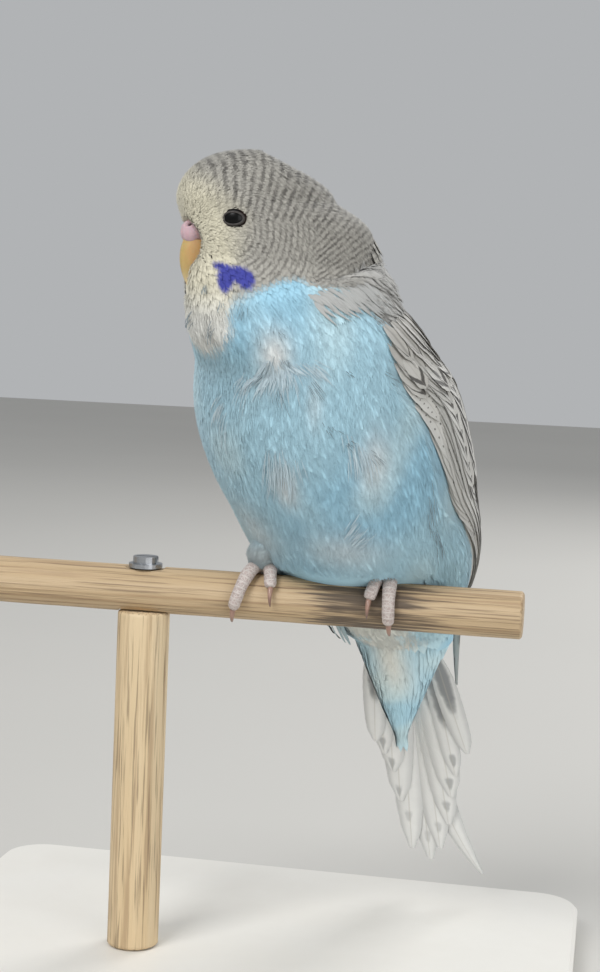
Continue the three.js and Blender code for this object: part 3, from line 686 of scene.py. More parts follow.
def island(points, corner, size, axes):
    """A flat unwrap of a small form, wrapped round by angle: gives the unwrap of any places on it."""
    middle = points.mean(0)
    low, high = (points @ axes[2]).min(), (points @ axes[2]).max()

    def unwrap(places):
        rel = places - middle
        turn = np.arctan2(rel @ axes[0], rel @ axes[1]) / (2 * math.pi) + 0.5
        level = np.clip((places @ axes[2] - low) / (high - low), 0, 1)
        return np.stack([corner[0] + size[0] * turn, corner[1] + size[1] * level], -1)
    return unwrap


TAIL_AXES = (tail_left, tail_belly, -tail_axis)
UPRIGHT = (np.array([1.0, 0, 0]), np.array([0, 1.0, 0]), UP)
core_uv = island(core_points, (0.80, 0.02), (0.18, 0.30), TAIL_AXES)


def bare(points, faces, marks, uv):
    """A surface with what the plumage finish reads."""
    tint, mark, strength = marks
    blade = np.tile([0.0, 0.8, 0.5], (len(points), 1))
    return points, faces, {"tint": tint, "mark": mark, "strength": strength, "blade": blade, "uv": uv}


skin_parts = [bare(skin_points, skin_faces, skin_marks, skin_uv),
              bare(core_points, core_faces, unmarked(core_points, BLUE_PALE), core_uv(core_points))]
thigh_uv = {}
for k, (side, (points, faces)) in enumerate(thighs.items()):
    thigh_uv[side] = island(points, (0.80, 0.36 + 0.2 * k), (0.18, 0.16), UPRIGHT)
    skin_parts.append(bare(points, faces, unmarked(points, DOWN), thigh_uv[side](points)))
coat_finish = plumage()
piece("skin", joined(skin_parts), coat_finish, "plumage_blue",
      "torso", "neck", "head", "thigh_left", "thigh_right")


# The coat
def eye_frame(sign):
    middle, front, left, half, breast, _ = section(np.array(EYE["level"]))
    a = math.radians(EYE["angle"] * sign)
    out = unit(front * math.cos(a) / breast + left * math.sin(a) / half)
    centre = around(EYE["level"], EYE["angle"] * sign) - out * EYE["sunk"]
    level = unit(np.cross(UP, out))
    return centre, level, np.cross(out, level), out


eyes = {"left": eye_frame(1), "right": eye_frame(-1)}


def eye_room(points):
    """How far places lie outside the nearer eye's bare ring, in millimetres."""
    room = np.full(points.shape[:-1], 99.0)
    for centre, level, up, out in eyes.values():
        rel = points - centre
        wide, high = EYE["bare"]
        reach = np.sqrt((dot(rel, level) / wide) ** 2 + (dot(rel, up) / high) ** 2)
        near = dot(rel, out) > 0
        room = np.where(near, np.minimum(room, (reach - 1) * 2.4), room)
    return room


def bill_room(points):
    """How far places lie outside the cere and the bill, roughly, in millimetres."""
    forward, side, height = from_head(points)
    room = (ball_reach(points, CERE) - 1) * 2.6
    inside = np.maximum(np.abs(side) - 2.6, np.maximum(13.2 - forward, np.abs(height - 69) - 5.5))
    lower = (ball_reach(points, LOWER_BILL) - 1) * 1.8
    return np.minimum(np.minimum(room, inside), lower)


def body_rows(start, end, spacing, width):
    """Places in staggered rows round the body, the rows a spacing apart and the places a width apart."""
    u, levels, degrees, row = start, [], [], 0
    angle = np.linspace(-180, 180, 181)
    while u < end:
        loop = around(u, angle)
        arc = np.concatenate([[0], np.cumsum(np.linalg.norm(np.diff(loop, axis=0), axis=1))])
        count = max(int(arc[-1] / width), 3)
        stops = (np.arange(count) + 0.5 * (row % 2)) * arc[-1] / count
        degrees.append(np.interp(stops, arc, angle))
        levels.append(np.full(count, u))
        rise = np.linalg.norm(around(u + 0.02, angle) - loop, axis=1).mean() / 0.02
        u += spacing / rise
        row += 1
    return np.concatenate(levels), np.concatenate(degrees)


def lie(points, u):
    """Which way feathers lie: down the body, and on the head away from the cere."""
    down = unit(spline(LEVELS, np.maximum(u - 0.4, 0))[..., :3] - spline(LEVELS, u)[..., :3])
    away = points - on_head(17.5, 0.0, 75.5)
    far = np.linalg.norm(away, axis=-1)
    sweep = unit(away) + np.array([0, 0, -1.0]) * (1.2 * smoothstep(far, 9, 26))[..., None]
    return unit(blend(down, unit(sweep), smoothstep(u, 9.0, 11.0)[..., None]))


def under_wing(u, degrees):
    angle = from_breast(degrees)
    belly, back, _ = wing_row(u)
    return (u < 8.35) & (angle > belly + 7) & (angle < back - 5)


def dressed(form, chance, base, marks):
    """A layer of feathers with what its finish reads. marks gives colours, bars and scallops at places."""
    points, faces, blade, facing = form
    blade[..., 2] = chance[:, None]
    uv = base[:, None] + (blade[..., :2] * [0.5, 1] - [0, 0.5]) * 0.003
    flat = points.reshape(-1, 3)
    tint, mark, strength = marks(flat)
    return flat, faces, {"tint": tint, "mark": mark, "strength": strength, "blade": blade.reshape(-1, 3),
                         "uv": uv.reshape(-1, 2), "normals": facing}


TIP_FALL = 0.0767  # levels that a feather runs down the body for each millimetre of its length


def body_coat(start, end, spacing, width, length, half, shape, lift, thick, spread=8.0, seed=0, keep=None):
    """One layer of feathers over a stretch of the body."""
    u, degrees = body_rows(start, end, spacing, width)
    local = np.random.default_rng(seed)
    u = u + local.normal(0, 0.012, len(u)) * spacing
    degrees = degrees + local.normal(0, 1.0, len(u)) * width
    roots = carve(around(u, degrees, -coat_depth(u)))
    clear = ~under_wing(u, degrees) & (eye_room(roots) > 0.2) & (bill_room(roots) > 0.35)
    if keep is not None:
        clear &= keep(u, from_breast(degrees))
    u, degrees, roots = u[clear], degrees[clear], roots[clear]
    room = np.minimum(eye_room(roots), bill_room(roots) * 0.9)
    size = local.uniform(0.85, 1.15, len(u))
    long = np.minimum(length * size, np.maximum(room + 0.7, 0.9))
    short = long / (length * size)
    heads = lie(roots, u)
    sideways = np.cross(heads, unit(roots - spline(LEVELS, u)[..., :3]))
    heads = unit(heads + sideways * np.tan(np.radians(local.normal(0, spread, len(u))))[:, None])
    line, normals = body_bed.march(roots, heads, long, len(shape))
    tip = line[-1]
    clear = (np.hypot(tip[:, 1], tip[:, 2]) > PERCH["radius"] + 0.9) & ((tip[:, 1] > 3) | (tip[:, 2] > 6.4))
    line, normals = line[:, clear], normals[:, clear]
    u, degrees, size, long, short = [v[clear] for v in (u, degrees, size, long, short)]
    settle = blend(0.55, 1.0, short) * blend(0.45, 1.0, smoothstep(u, 2.6, 4.5))
    height = np.array(lift)[:, None] * settle[None] * local.uniform(0.9, 1.12, len(u))[None]
    full = 0.5 * bell(u, 13.3, 0.5) * smoothstep(np.abs(degrees), 95, 140)
    height = height + np.linspace(0, 1, len(shape))[:, None] ** 0.5 * full[None]
    form = blades(line, normals, half * size * blend(0.6, 1, short), shape, height[..., None], thick)
    corners = form[0].shape[1]
    fall = TIP_FALL * np.linspace(0, 1, corners)[None] * long[:, None]
    level = np.repeat(u, corners) - fall.ravel()
    return dressed(form, local.random(len(u)), body_uv(u, degrees),
                   lambda places: markings(places, level, np.repeat(degrees, corners)))


def coat_piece(name, slot, *parts):
    piece(name, joined(parts), coat_finish, slot)


SOFT = [0.55, 0.95, 1.0, 0.75, 0]
SMALL = [0.6, 1.0, 0.75, 0]
WISP = [1.0, 0.8, 0]
SCALLOP = [0.5, 0.85, 1.0, 1.0, 0.8, 0.4, 0]
coat_piece("breast_feathers", "plumage_blue",
           body_coat(2.7, 9.9, 1.1, 1.15, 7.0, 1.3, SOFT, [-0.3, 0.35, 0.65, 0.85, 0.95], 0.05, seed=1))
coat_piece("neck_feathers", "plumage_grey",
           body_coat(8.4, 11.2, 0.62, 0.75, 3.4, 0.8, SMALL, [-0.3, 0.35, 0.6, 0.72], 0.04, seed=2))
# The mantle's edge, as levels and angles from the breast
MANTLE_EDGE = ([3, 8, 9, 10, 10.9, 11.9], [158, 114, 104, 108, 130, 158])
MANTLE_LIFTS = [-0.2, 0.5, 0.8, 1.0, 1.2, 1.5, 1.9]
coat_piece("mantle_feathers", "plumage_grey",
           body_coat(3.0, 11.9, 1.25, 1.3, 4.4, 0.9, SCALLOP, MANTLE_LIFTS, 0.08, 9, 8,
                     lambda u, angle: angle > np.interp(u, *MANTLE_EDGE)))
coat_piece("head_feathers", "plumage_grey",
           body_coat(10.9, 13.99, 0.55, 0.5, 1.9, 0.42, SMALL, [-0.2, 0.3, 0.5, 0.62], 0.04, seed=3))
for k in range(3):
    coat_piece(f"breast_wisps_{k + 1}", "plumage_blue",
               body_coat(2.7, 9.8, 0.78, 0.68, 5.6, 0.1, WISP, [0.1, 0.9, 1.2 + 0.05 * k], 0.05, 9, 4 + k))
coat_piece("head_wisps", "plumage_grey",
           body_coat(8.6, 13.99, 0.48, 0.48, 1.7, 0.07, WISP, [0.1, 0.6, 0.85], 0.04, 12, 9))


def laid_coat(place, start, turn, reach, half, shape, lift, thick, tint, unwrap, local, swing=0.0):
    """Feathers on a form given by place(along, turn, lift), each down from its start and turning by swing."""
    t = np.linspace(0, 1, len(shape))[:, None]
    along = start[None] + reach[None] * t
    turned = turn[None] + swing * t
    line = place(along, turned, 0.0 * along)
    normals = unit(place(along, turned, 0.0 * along + 1.0) - line)
    size = local.uniform(0.85, 1.15, len(start))
    height = np.asarray(lift, float)
    height = height[:, None, None] if height.ndim == 1 else height[..., None]
    form = blades(line, normals, half * size, shape, height, thick)
    return dressed(form, local.random(len(start)), unwrap(line[0]), tint)


def breast_over_wing(sign, count, seed, half, shape, rise):
    """Breast feathers that lap over the front edge of the wing."""
    local = np.random.default_rng(seed)
    level = local.uniform(2.7, 8.0, count)
    inward = local.uniform(0, 1, count)
    edge, _, thick = wing_row(level)
    turn = sign * (edge - 1.0 - 14 * inward)

    def place(along, turned, lift):
        return around(-along, turned, lift - 0.9)
    reach = local.uniform(4.5, 6.5, count) / 11.5
    top = 0.1 * thick * smoothstep(edge - sign * turn, 13, 0)
    lift = np.array(rise)[:, None] + np.linspace(0, 1, len(shape))[:, None] ** 0.4 * top[None]

    def tint(points):
        each = len(points) // count
        turns = np.repeat(turn - sign * 12, each)
        colours, marks, strengths = markings(points, np.repeat(level, each), turns)
        return blend(colours, DOWN, 0.25), marks, strengths
    return laid_coat(place, -level, turn, reach, half, shape, lift, 0.06, tint,
                     lambda places: body_uv(level, turn), local, sign * 1.5)


flank_parts = []
for sign in (1, -1):
    flank_parts.append(breast_over_wing(sign, 900, 50 + sign, 1.2, SOFT, [-0.2, 0.3, 0.6, 0.8, 0.9]))
    flank_parts.append(breast_over_wing(sign, 3000, 55 + sign, 0.1, WISP, [0.1, 0.85, 1.15]))
coat_piece("flank_feathers", "plumage_blue", *flank_parts)


# Loose barbs, pale streaks and hanging tufts of the breast, each from one level and angle to another
STRANDS = [
    (8.47, 35.6, 7.52, 7.4), (7.7, 24.4, 7.2, 24.8), (7.93, 40.6, 7.34, 44.5), (7.83, 60.7, 7.68, 61.5),
    (7.66, 79.3, 7.4, 83.9), (8.36, 39.5, 8.18, 39.1), (7.09, 40.3, 6.88, 41.0), (8.83, 48.0, 8.68, 48.4),
    (9.45, 17.9, 8.77, 5.1), (9.72, 2.8, 9.31, -16.1), (9.72, 41.4, 9.24, 34.1), (9.79, 27.1, 9.58, 26.4),
    (10.15, 20.6, 9.86, 19.8), (7.83, 106.7, 7.41, 104.0), (6.93, 88.2, 6.57, 85.8), (6.74, 42.6, 6.59, 43.3),
    (6.52, 50.7, 6.29, 54.9), (5.25, 75.0, 4.38, 63.0), (5.06, 75.8, 4.2, 60.3), (5.95, 78.5, 4.75, 69.6)]
STREAKS = [
    (8.36, 33.5, 7.61, 5.5), (8.34, 33.0, 7.5, 12.8), (8.31, 33.2, 7.45, 19.0), (8.29, 34.5, 7.49, 26.4),
    (8.29, 35.6, 7.52, 31.8), (8.33, 36.4, 7.74, 40.3), (6.95, 11.7, 6.27, -4.2), (6.9, 14.4, 6.16, 2.4),
    (6.82, 16.3, 6.22, 9.7), (6.79, 46.4, 6.24, 40.6), (6.66, 49.1, 6.15, 47.2), (5.41, 27.5, 5.72, 39.1),
    (5.34, 30.2, 5.5, 39.5), (7.5, -4.9, 7.04, -19.2), (8.13, 17.1, 7.38, 0.9), (8.25, 45.7, 7.66, 50.7)]
HANGING = [(3.15, -30, 2.45, -34), (3.1, -38, 2.35, -44), (3.2, -46, 2.4, -53), (3.2, -54, 2.5, -62),
           (3.3, -62, 2.55, -70), (3.35, -72, 2.6, -80)]


def pale_tufts(count):
    """Small pale tufts of the neck that lap over the breast in front of the wing."""
    local = np.random.default_rng(62)
    t = local.random(count)
    level = 9.42 - 0.3 * t + local.normal(0, 0.1, count)
    turn = 70 + 40 * t + local.normal(0, 1.5, count)
    low = level - local.uniform(0.35, 0.65, count)
    return np.stack([level, turn, low, turn + local.uniform(3, 9, count)], 1)


def fibres(rows, count, share, spread, seed):
    """Short fine barbs strewn along rows: count to a row, each over a share of its length."""
    local = np.random.default_rng(seed)
    table = np.repeat(np.array(rows, float), count, 0)
    first = local.uniform(0, 1 - share, (len(table), 1))
    shift = local.normal(0, 1, (len(table), 2)) * spread
    start = blend(table[:, :2], table[:, 2:], first) + shift
    end = blend(table[:, :2], table[:, 2:], first + share) + 1.3 * shift
    return np.concatenate([start, end], 1)


def strand_coat(rows, half, shape, lift, thick, tone, seed):
    """Feathers of one colour, each from one level and angle to another."""
    table = np.array(rows, float)
    t = np.linspace(0, 1, len(shape))[:, None]
    level = blend(table[:, 0], table[:, 2], t)
    turn = blend(table[:, 1], table[:, 3], t)
    line = around(level, turn, -1.0)
    normals = unit(around(level, turn, 0.0) - line)
    form = blades(line, normals, np.full(len(table), half), shape, np.array(lift)[:, None, None], thick)
    chance = np.random.default_rng(seed).random(len(table))
    base = body_uv(table[:, 0], table[:, 1])
    return dressed(form, chance, base, lambda places: unmarked(places, colour(tone)))


STRAND = [0.5, 1, 1, 1, 1, 1, 0.8, 0.4, 0]
TUFT = [0.5, 0.8, 1.0, 0.95, 0.85, 0.7, 0.5, 0.25, 0]
coat_piece("loose_barbs", "plumage_blue",
           strand_coat(fibres(STRANDS, 7, 0.4, [0.03, 1.5], 65), 0.04, STRAND,
                       [0.6, 0.95, 1.1, 1.25, 1.35, 1.4, 1.4, 1.4, 1.35], 0.08, "7d929d", 60),
           strand_coat(pale_tufts(60), 0.42, TUFT,
                       [0.2, 0.7, 0.95, 1.1, 1.2, 1.3, 1.35, 1.4, 1.4], 0.12, "b9bab8", 61),
           strand_coat(fibres(STREAKS, 20, 0.6, [0.08, 2.2], 66), 0.06, STRAND,
                       [0.3, 0.8, 1.0, 1.1, 1.15, 1.15, 1.1, 1.05, 0.9], 0.05, "cbdfe8", 64),
           strand_coat(HANGING, 1.3, TUFT,
                       [0.2, 0.7, 1.1, 1.4, 1.7, 2.0, 2.2, 2.4, 2.5], 0.15, "9fb6bd", 63))


def thigh_tint(points):
    soft = smoothstep(ripple(points, 1.6, 3.0), -0.5, 0.6)[..., None]
    low = smoothstep(points[..., 2], 16, 9)
    return unmarked(points, blend(wash(BLUE, DOWN, low), WHITE, 0.2 * soft))


def covert_tint(points):
    rel = points - TAIL["root"]
    along, across, out = rel @ tail_axis, rel @ tail_left, rel @ tail_belly
    tint = wash(BLUE, BLUE_PALE, smoothstep(ripple(points, 3.5, 4.0), -0.5, 0.6))
    cream = bell(across, -1.0, 4.4) * (1 - smoothstep(along, 2, 17)) * (out > 0)
    return unmarked(points, wash(tint, VENT, 0.9 * cream))


def on_core(along, turn, lift):
    """A place on the rump and the tail's core below it: turn 0 is the belly side."""
    stops = TAIL_CORE[:, 0]
    across, half, belly, back = [np.interp(along, stops, TAIL_CORE[:, k]) for k in (1, 2, 3, 4)]
    angle = np.radians(turn)
    deep = np.where(np.cos(angle) > 0, belly, back) - 0.9 + lift
    core = on_tail(along, across + (half - 0.9 + lift) * np.sin(angle), deep * np.cos(angle))
    body = around(2 - along / 9.6, turn, lift - 1.2)
    return blend(body, core, smoothstep(along, -7, 1)[..., None])


def on_thigh(rows):
    table = np.array(rows, float)
    last = len(table) - 1.0

    def place(along, turn, lift):
        row = spline(table, along)
        low = spline(table, np.full_like(along, last)) - spline(table, np.full_like(along, last - 0.2))
        row = row + low * (np.maximum(along - last, 0) / 0.2)[..., None] * [1, 1, 1, 0.4]
        angle = np.radians(turn)
        reach = row[..., 3] - 0.9 + lift
        ring = np.stack([np.cos(angle), np.sin(angle), 0 * angle], -1)
        return row[..., :3] + ring * reach[..., None]
    return place


thigh_parts = []
for seed, (side, leg) in enumerate(LEGS.items()):
    place = on_thigh(leg["thigh"])
    for count, long, half, shape, lift in ((900, 1.1, 0.4, SOFT, [-0.5, 0.2, 0.6, 0.9, 1.2]),
                                           (2400, 1.0, 0.07, WISP, [0.0, 0.8, 1.5])):
        local = np.random.default_rng(20 + seed + count)
        start = local.uniform(0.2, 2.75, count)
        reach = np.full(count, long) * local.uniform(0.8, 1.2, count)
        turn = local.uniform(0, 360, count)
        thigh_parts.append(laid_coat(place, start, turn, reach, half, shape, lift, 0.07, thigh_tint,
                                     thigh_uv[side], local))
coat_piece("thigh_feathers", "plumage_grey", *thigh_parts)
covert_parts = []
for count, first, long, half, shape, lift in (
        (900, -11.0, 9.0, 1.5, [0.5, 0.8, 1.0, 1.0, 0.9, 0.65, 0], [-0.4, 0.1, 0.35, 0.55, 0.7, 0.8, 0.85]),
        (2600, -10.0, 6.0, 0.08, WISP, [0.2, 0.65, 0.9])):
    local = np.random.default_rng(40 + count)
    start = first + 33 * local.random(count) ** 1.1
    turn = local.uniform(0, 360, count)
    reach = long * local.uniform(0.8, 1.1, count)
    width = half * blend(1.0, 0.6, np.clip(start / 24, 0, 1))
    covert_parts.append(laid_coat(on_core, start, turn, reach, width, shape, lift, 0.08, covert_tint, core_uv,
                                  local))
coat_piece("tail_coverts", "plumage_blue", *covert_parts)


# Wing and tail feathers: curved vanes with a shaft, thin and closed
def vane(line, normals, half, shape, arch, thick, tilt, columns, ragged, local):
    """One vane along a middle line. It carries its place across and along itself."""
    rows = len(line)
    along = unit(np.gradient(line, axis=0))
    side = unit(np.cross(along, normals))
    up = unit(np.cross(side, along))
    side, up = side * math.cos(tilt) + up * math.sin(tilt), up * math.cos(tilt) - side * math.sin(tilt)
    s = np.linspace(-1, 1, columns)
    wide = half * np.interp(np.linspace(0, 1, rows), np.linspace(0, 1, len(shape)), shape)
    edge = 1 + ragged * local.normal(0, 1, (rows, 1)) * np.abs(s)[None] ** 3
    reach = (wide[:, None] * s[None] * edge)[..., None]
    dome = (arch * half * (1 - s ** 2))[None, :, None] + (0.08 * bell(s, 0, 0.12))[None, :, None]
    deep = thick - (thick - 0.06) * (np.abs(s) == 1)[None, :, None]
    top = line[:, None] + side[:, None] * reach + up[:, None] * dome
    bottom = top - up[:, None] * deep
    points = np.concatenate([top.reshape(-1, 3), bottom.reshape(-1, 3)])
    facing = unit(up[:, None] + side[:, None] * (0.35 * s)[None, :, None]).reshape(-1, 3)
    n = rows * columns
    upper = grid_faces(rows, columns)
    i = np.arange(rows - 1) * columns
    j = np.arange(columns - 1)
    left = np.stack([i + n, i + n + columns, i + columns, i], 1)
    right = np.stack([i, i + columns, i + n + columns, i + n], 1) + columns - 1
    root = np.stack([j, j + 1, j + 1 + n, j + n], 1)
    last = (rows - 1) * columns
    tip = np.stack([j + n, j + 1 + n, j + 1, j], 1) + last
    t = np.repeat(np.linspace(0, 1, rows), columns)
    blade = np.tile(np.stack([np.tile(s, rows), t, np.full(n, local.random())], 1), (2, 1))
    faces = np.concatenate([upper, upper[:, ::-1] + n, left, right, root, tip])
    return points, [faces], {"blade": blade, "normals": np.concatenate([facing, -facing])}


def on_wing(sign, u, across, height):
    belly, back, thick = wing_row(u)
    swell = np.sin(math.pi * np.clip(across * 0.86 + 0.1, 0, 1)) ** 0.6
    return around(u, sign * blend(belly, back, across), thick * swell + height)


def wing_vane(sign, start, end, half, shape, heights, tilt, kind, local, rows=14, bow=0.0):
    t = np.linspace(0, 1, rows)
    u = blend(start[0], end[0], t)
    across = blend(start[1], end[1], t) + bow * np.sin(math.pi * t)
    height = np.interp(t, np.linspace(0, 1, len(heights)), heights)

    def settled(level, over):
        near = level[None] + np.array([-0.45, -0.22, 0.0, 0.22, 0.45])[:, None]
        return np.mean([on_wing(sign, stops, over, height) for stops in near], 0)
    line = settled(u, across)
    down = settled(u - 0.4, across) - settled(u + 0.4, across)
    over = settled(u, across + 0.05) - line
    normals = unit(np.cross(down, over) * -sign)
    made, faces, carried = vane(line, normals, half, shape, 0.07, 0.12, tilt * sign, 9, 0.03, local)
    carried["kind"] = np.full(len(made), kind)
    carried["grey"] = np.full(len(made), smoothstep(u.mean(), 6.6, 7.9))
    return made, faces, carried


ROUND = [0.35, 0.75, 0.95, 1.0, 0.98, 0.85, 0.3]
LONG = [0.35, 0.7, 0.9, 1.0, 1.0, 0.95, 0.85, 0.6, 0.15]
CRESCENT, TICKED, LINED, BLOTTED = 0, 1, 2, 3  # how a wing feather is marked


def wing_parts(sign):
    """A wing's feathers: flight feathers, rows of coverts up to the shoulder, and single marked feathers."""
    local = np.random.default_rng(70 + sign)
    made = []
    for i in range(7):
        t = i / 6
        start = (5.6 - 0.3 * t, blend(0.4, -0.05, t))
        end = (blend(3.1, 1.32, t), blend(0.5, 0.3, t))
        heights = [-0.6, 0.1, 0.25, 0.2, 0.1]
        made.append(wing_vane(sign, start, end, 2.1, LONG, heights, 0.2, LINED, local, 22, -0.05))
    rows = [(4.5, 1.2, -0.03, 0.5, 6, 1.8), (4.9, 1.3, -0.06, 0.75, 8, 1.9)]
    rows += [(root, 1.25, -0.1, 0.93, 11, 2.0) for root in np.arange(5.2, 7.3, 0.27)]
    rows += [(7.5, 1.05, -0.1, 0.96, 11, 2.1), (7.8, 0.95, -0.1, 0.97, 11, 2.0),
             (8.12, 0.85, -0.05, 0.95, 10, 1.9), (8.42, 0.75, 0.0, 0.9, 9, 1.8)]
    for root, long, first, final, count, half in rows:
        for i in range(count):
            across = blend(first, final, i / (count - 1)) + local.normal(0, 0.012)
            reach = long * local.uniform(0.93, 1.05)
            end = blend(across, 0.4, 0.07 * reach)
            kind = CRESCENT if across > 0.04 or root > 7.6 else TICKED
            heights = [-0.4, 0.25, 0.5, 0.65, 0.75]
            start = (root, across)
            made.append(wing_vane(sign, start, (root - reach, end), half, ROUND, heights, 0.1, kind, local))
    # Single feathers as root level and place across, the same of the tip, half width, shape, heights, tilt,
    # marks and rows
    lined = [0.2, 0.8, 1.0, 1.05, 1.0]
    singles = [(top, across, low, across, half, LONG, lined, 0.12, LINED, 22) for across, top, low, half in (
        (0.03, 5.7, 3.75, 1.1), (-0.02, 6.1, 3.9, 1.1), (-0.07, 6.4, 4.2, 1.0), (0.0, 6.95, 4.9, 1.0),
        (0.08, 5.3, 3.7, 1.1))]
    tiered = [0.0, 0.6, 0.8, 0.95, 1.1]
    for across, step, kind in ((0.07, 0.21, CRESCENT), (0.2, 0.29, BLOTTED)):
        singles += [(tip + 1.15, across, tip, across + 0.01, 2.2, ROUND, tiered, 0.0, kind, 14)
                    for tip in np.arange(5.3, 6.75, step)]
    blotted = [0.2, 0.8, 1.1, 1.3, 1.35]
    blots = ((0.13, 7.6, 6.75, 1.9), (-0.04, 7.8, 7.1, 1.6), (0.28, 7.5, 6.9, 1.5))
    singles += [(root, across, tip, across, half, ROUND, blotted, 0.0, BLOTTED, 14)
                for across, root, tip, half in blots]
    singles += [(top, across, low, across + 0.05, 1.5, LONG, [0.1, 0.5, 0.6, 0.6, 0.4], 0.0, CRESCENT, 20)
                for top, low, across in ((4.9, 2.4, -0.12), (4.5, 2.0, -0.04), (4.0, 1.8, 0.02))]
    singles += [(root, 0.93, root - 1.5, 0.9, 2.4, ROUND, [-0.3, 0.5, 0.8, 0.95], -0.1, CRESCENT, 14)
                for root in (8.0, 7.6, 7.1, 6.6)]
    for root, across, tip, tip_across, *looks, rows in singles:
        made.append(wing_vane(sign, (root, across), (tip, tip_across), *looks, local, rows))
    return made


def in_cells(parts):
    """Lays each vane in its own cell of the unwrap."""
    across = math.ceil(math.sqrt(len(parts)))
    for k, (_, _, carried) in enumerate(parts):
        column, row = k % across, k // across
        s, t = carried["blade"][:, 0], carried["blade"][:, 1]
        carried["uv"] = np.stack([(column + 0.5 + 0.42 * s) / across, (row + 0.05 + 0.9 * t) / across], 1)
    return parts


def feathered(made, shade, wide, quill_wide, quill_share, quill, barbs, barb_share, barb):
    """Ends a wing or tail feather's finish with its quill and its fine barbs."""
    shade = made.mix(wide.step(0.03, quill_wide, 1.0, 0.0) * quill_share, shade, quill)
    made.base(made.mix(barbs.step(-1.0, 1.0, 0.0, barb_share), shade, barb))
    made.bump(barbs, 0.04, 0.5)
    return made.material


def flight_finish():
    """Wing feathers: pale, with a crescent, ticks along one edge, a line down one side, or a broad blot."""
    made = Finish("wing_feather", 0.65, Sheen_Weight=0.15)
    across, along, chance = made.parts("blade")
    kind = made.attribute("kind")
    wide = abs(across)
    wobble = (made.noise(700) - 0.5) * 0.16
    far = abs(along + wobble - (0.88 - wide ** 2.0 * 0.5)) + wide * 0.03
    heart = wide.step(0.05, 0.3, 1.0, 0.0) * along.step(0.88, 0.8)
    crescent = far.step(0.03, 0.085, 1.0, 0.0).larger(heart * 0.35)
    beat = (along * 62.0 + chance * 6.0).sine()
    ticks = beat.step(0.6, 0.98) * (wide + wobble).near(0.45, 0.02, 0.16)
    blot = (along + wobble + wide * 0.4).near(0.86, 0.07, 0.15)
    line = (across + wobble).near(0.5, 0.14, 0.34)
    is_ticked, is_lined, is_blotted = [kind.step(k - 0.7, k - 0.3) for k in (TICKED, LINED, BLOTTED)]
    dark = crescent * (1.0 - is_ticked) + ticks * (is_ticked - is_lined)
    dark = dark + line * (is_lined - is_blotted) + blot * is_blotted
    pale = made.mix(made.attribute("grey") * 0.7, made.mix(chance * 0.6, "d0cfca", "b6b5b0"), "a19e97")
    shade = made.mix(dark * 0.92, pale, "35322f")
    barbs = (along * 240.0 - wide * 60.0).sine()
    return feathered(made, shade, wide, 0.07, 0.3, "8d877f", barbs, 0.1, "6f6d69")


wing_finish = flight_finish()
for side, sign in (("left", 1), ("right", -1)):
    form = joined(in_cells(wing_parts(sign)))
    piece("wing_feathers_" + side, form, wing_finish, "wing_feathers", "wing_" + side)


# Grey patches and spots of the tail feathers, from the outermost on the bird's right: millimetres down the
# tail and across the feather (-1 to 1), half sizes the same way, and strength
LARGE = [(9, 0.0, 8.5, 0.75, 0.8)]
PATCHES = [
    LARGE, [(11, 0, 8, 0.8, 0.8), (30, 0.1, 2.0, 0.35, 0.5)],
    [(12, 0, 7, 0.8, 0.7), (36, 0.1, 1.8, 0.35, 0.5)], [(44.5, 0.1, 1.8, 0.35, 0.45)],
    [(52, 0.1, 1.8, 0.3, 0.3)], [(58, 0, 2.0, 0.3, 0.25)], [(40, 0, 2, 0.3, 0.3)],
    [(54, -0.1, 1.8, 0.3, 0.3)], [(46.5, -0.1, 1.8, 0.35, 0.45)],
    [(12, 0, 7, 0.8, 0.7), (39, -0.1, 1.8, 0.35, 0.5)], [(14, 0, 8, 0.8, 0.8), (31.5, -0.1, 2.0, 0.35, 0.5)],
    LARGE]


def tail_finish():
    """Tail feathers: white, with soft grey patches, and painted shade greying each feather towards its edges.
    """
    made = Finish("tail_feather", 0.6, Sheen_Weight=0.15)
    across, along, _ = made.parts("blade")
    wide = abs(across)
    grain = made.noise(500)
    patch = (made.attribute("patch") + (grain - 0.5) * 0.5).step(0.1, 0.9) * made.attribute("depth")
    pale = made.mix(grain * 0.4, "f0f0ee", "dcdedc")
    # The grey towards each feather's edges is painted shade, where the vanes curve away and lap under their
    # neighbours; the patches are the feathers' own marks.
    shade = made.mix(patch.larger(wide.step(0.35, 1.0) * 0.3), pale, "62666a")
    barbs = (along * 420.0 - wide * 60.0).sine()
    return feathered(made, shade, wide, 0.08, 0.35, "b9b4a8", barbs, 0.07, "8f9290")


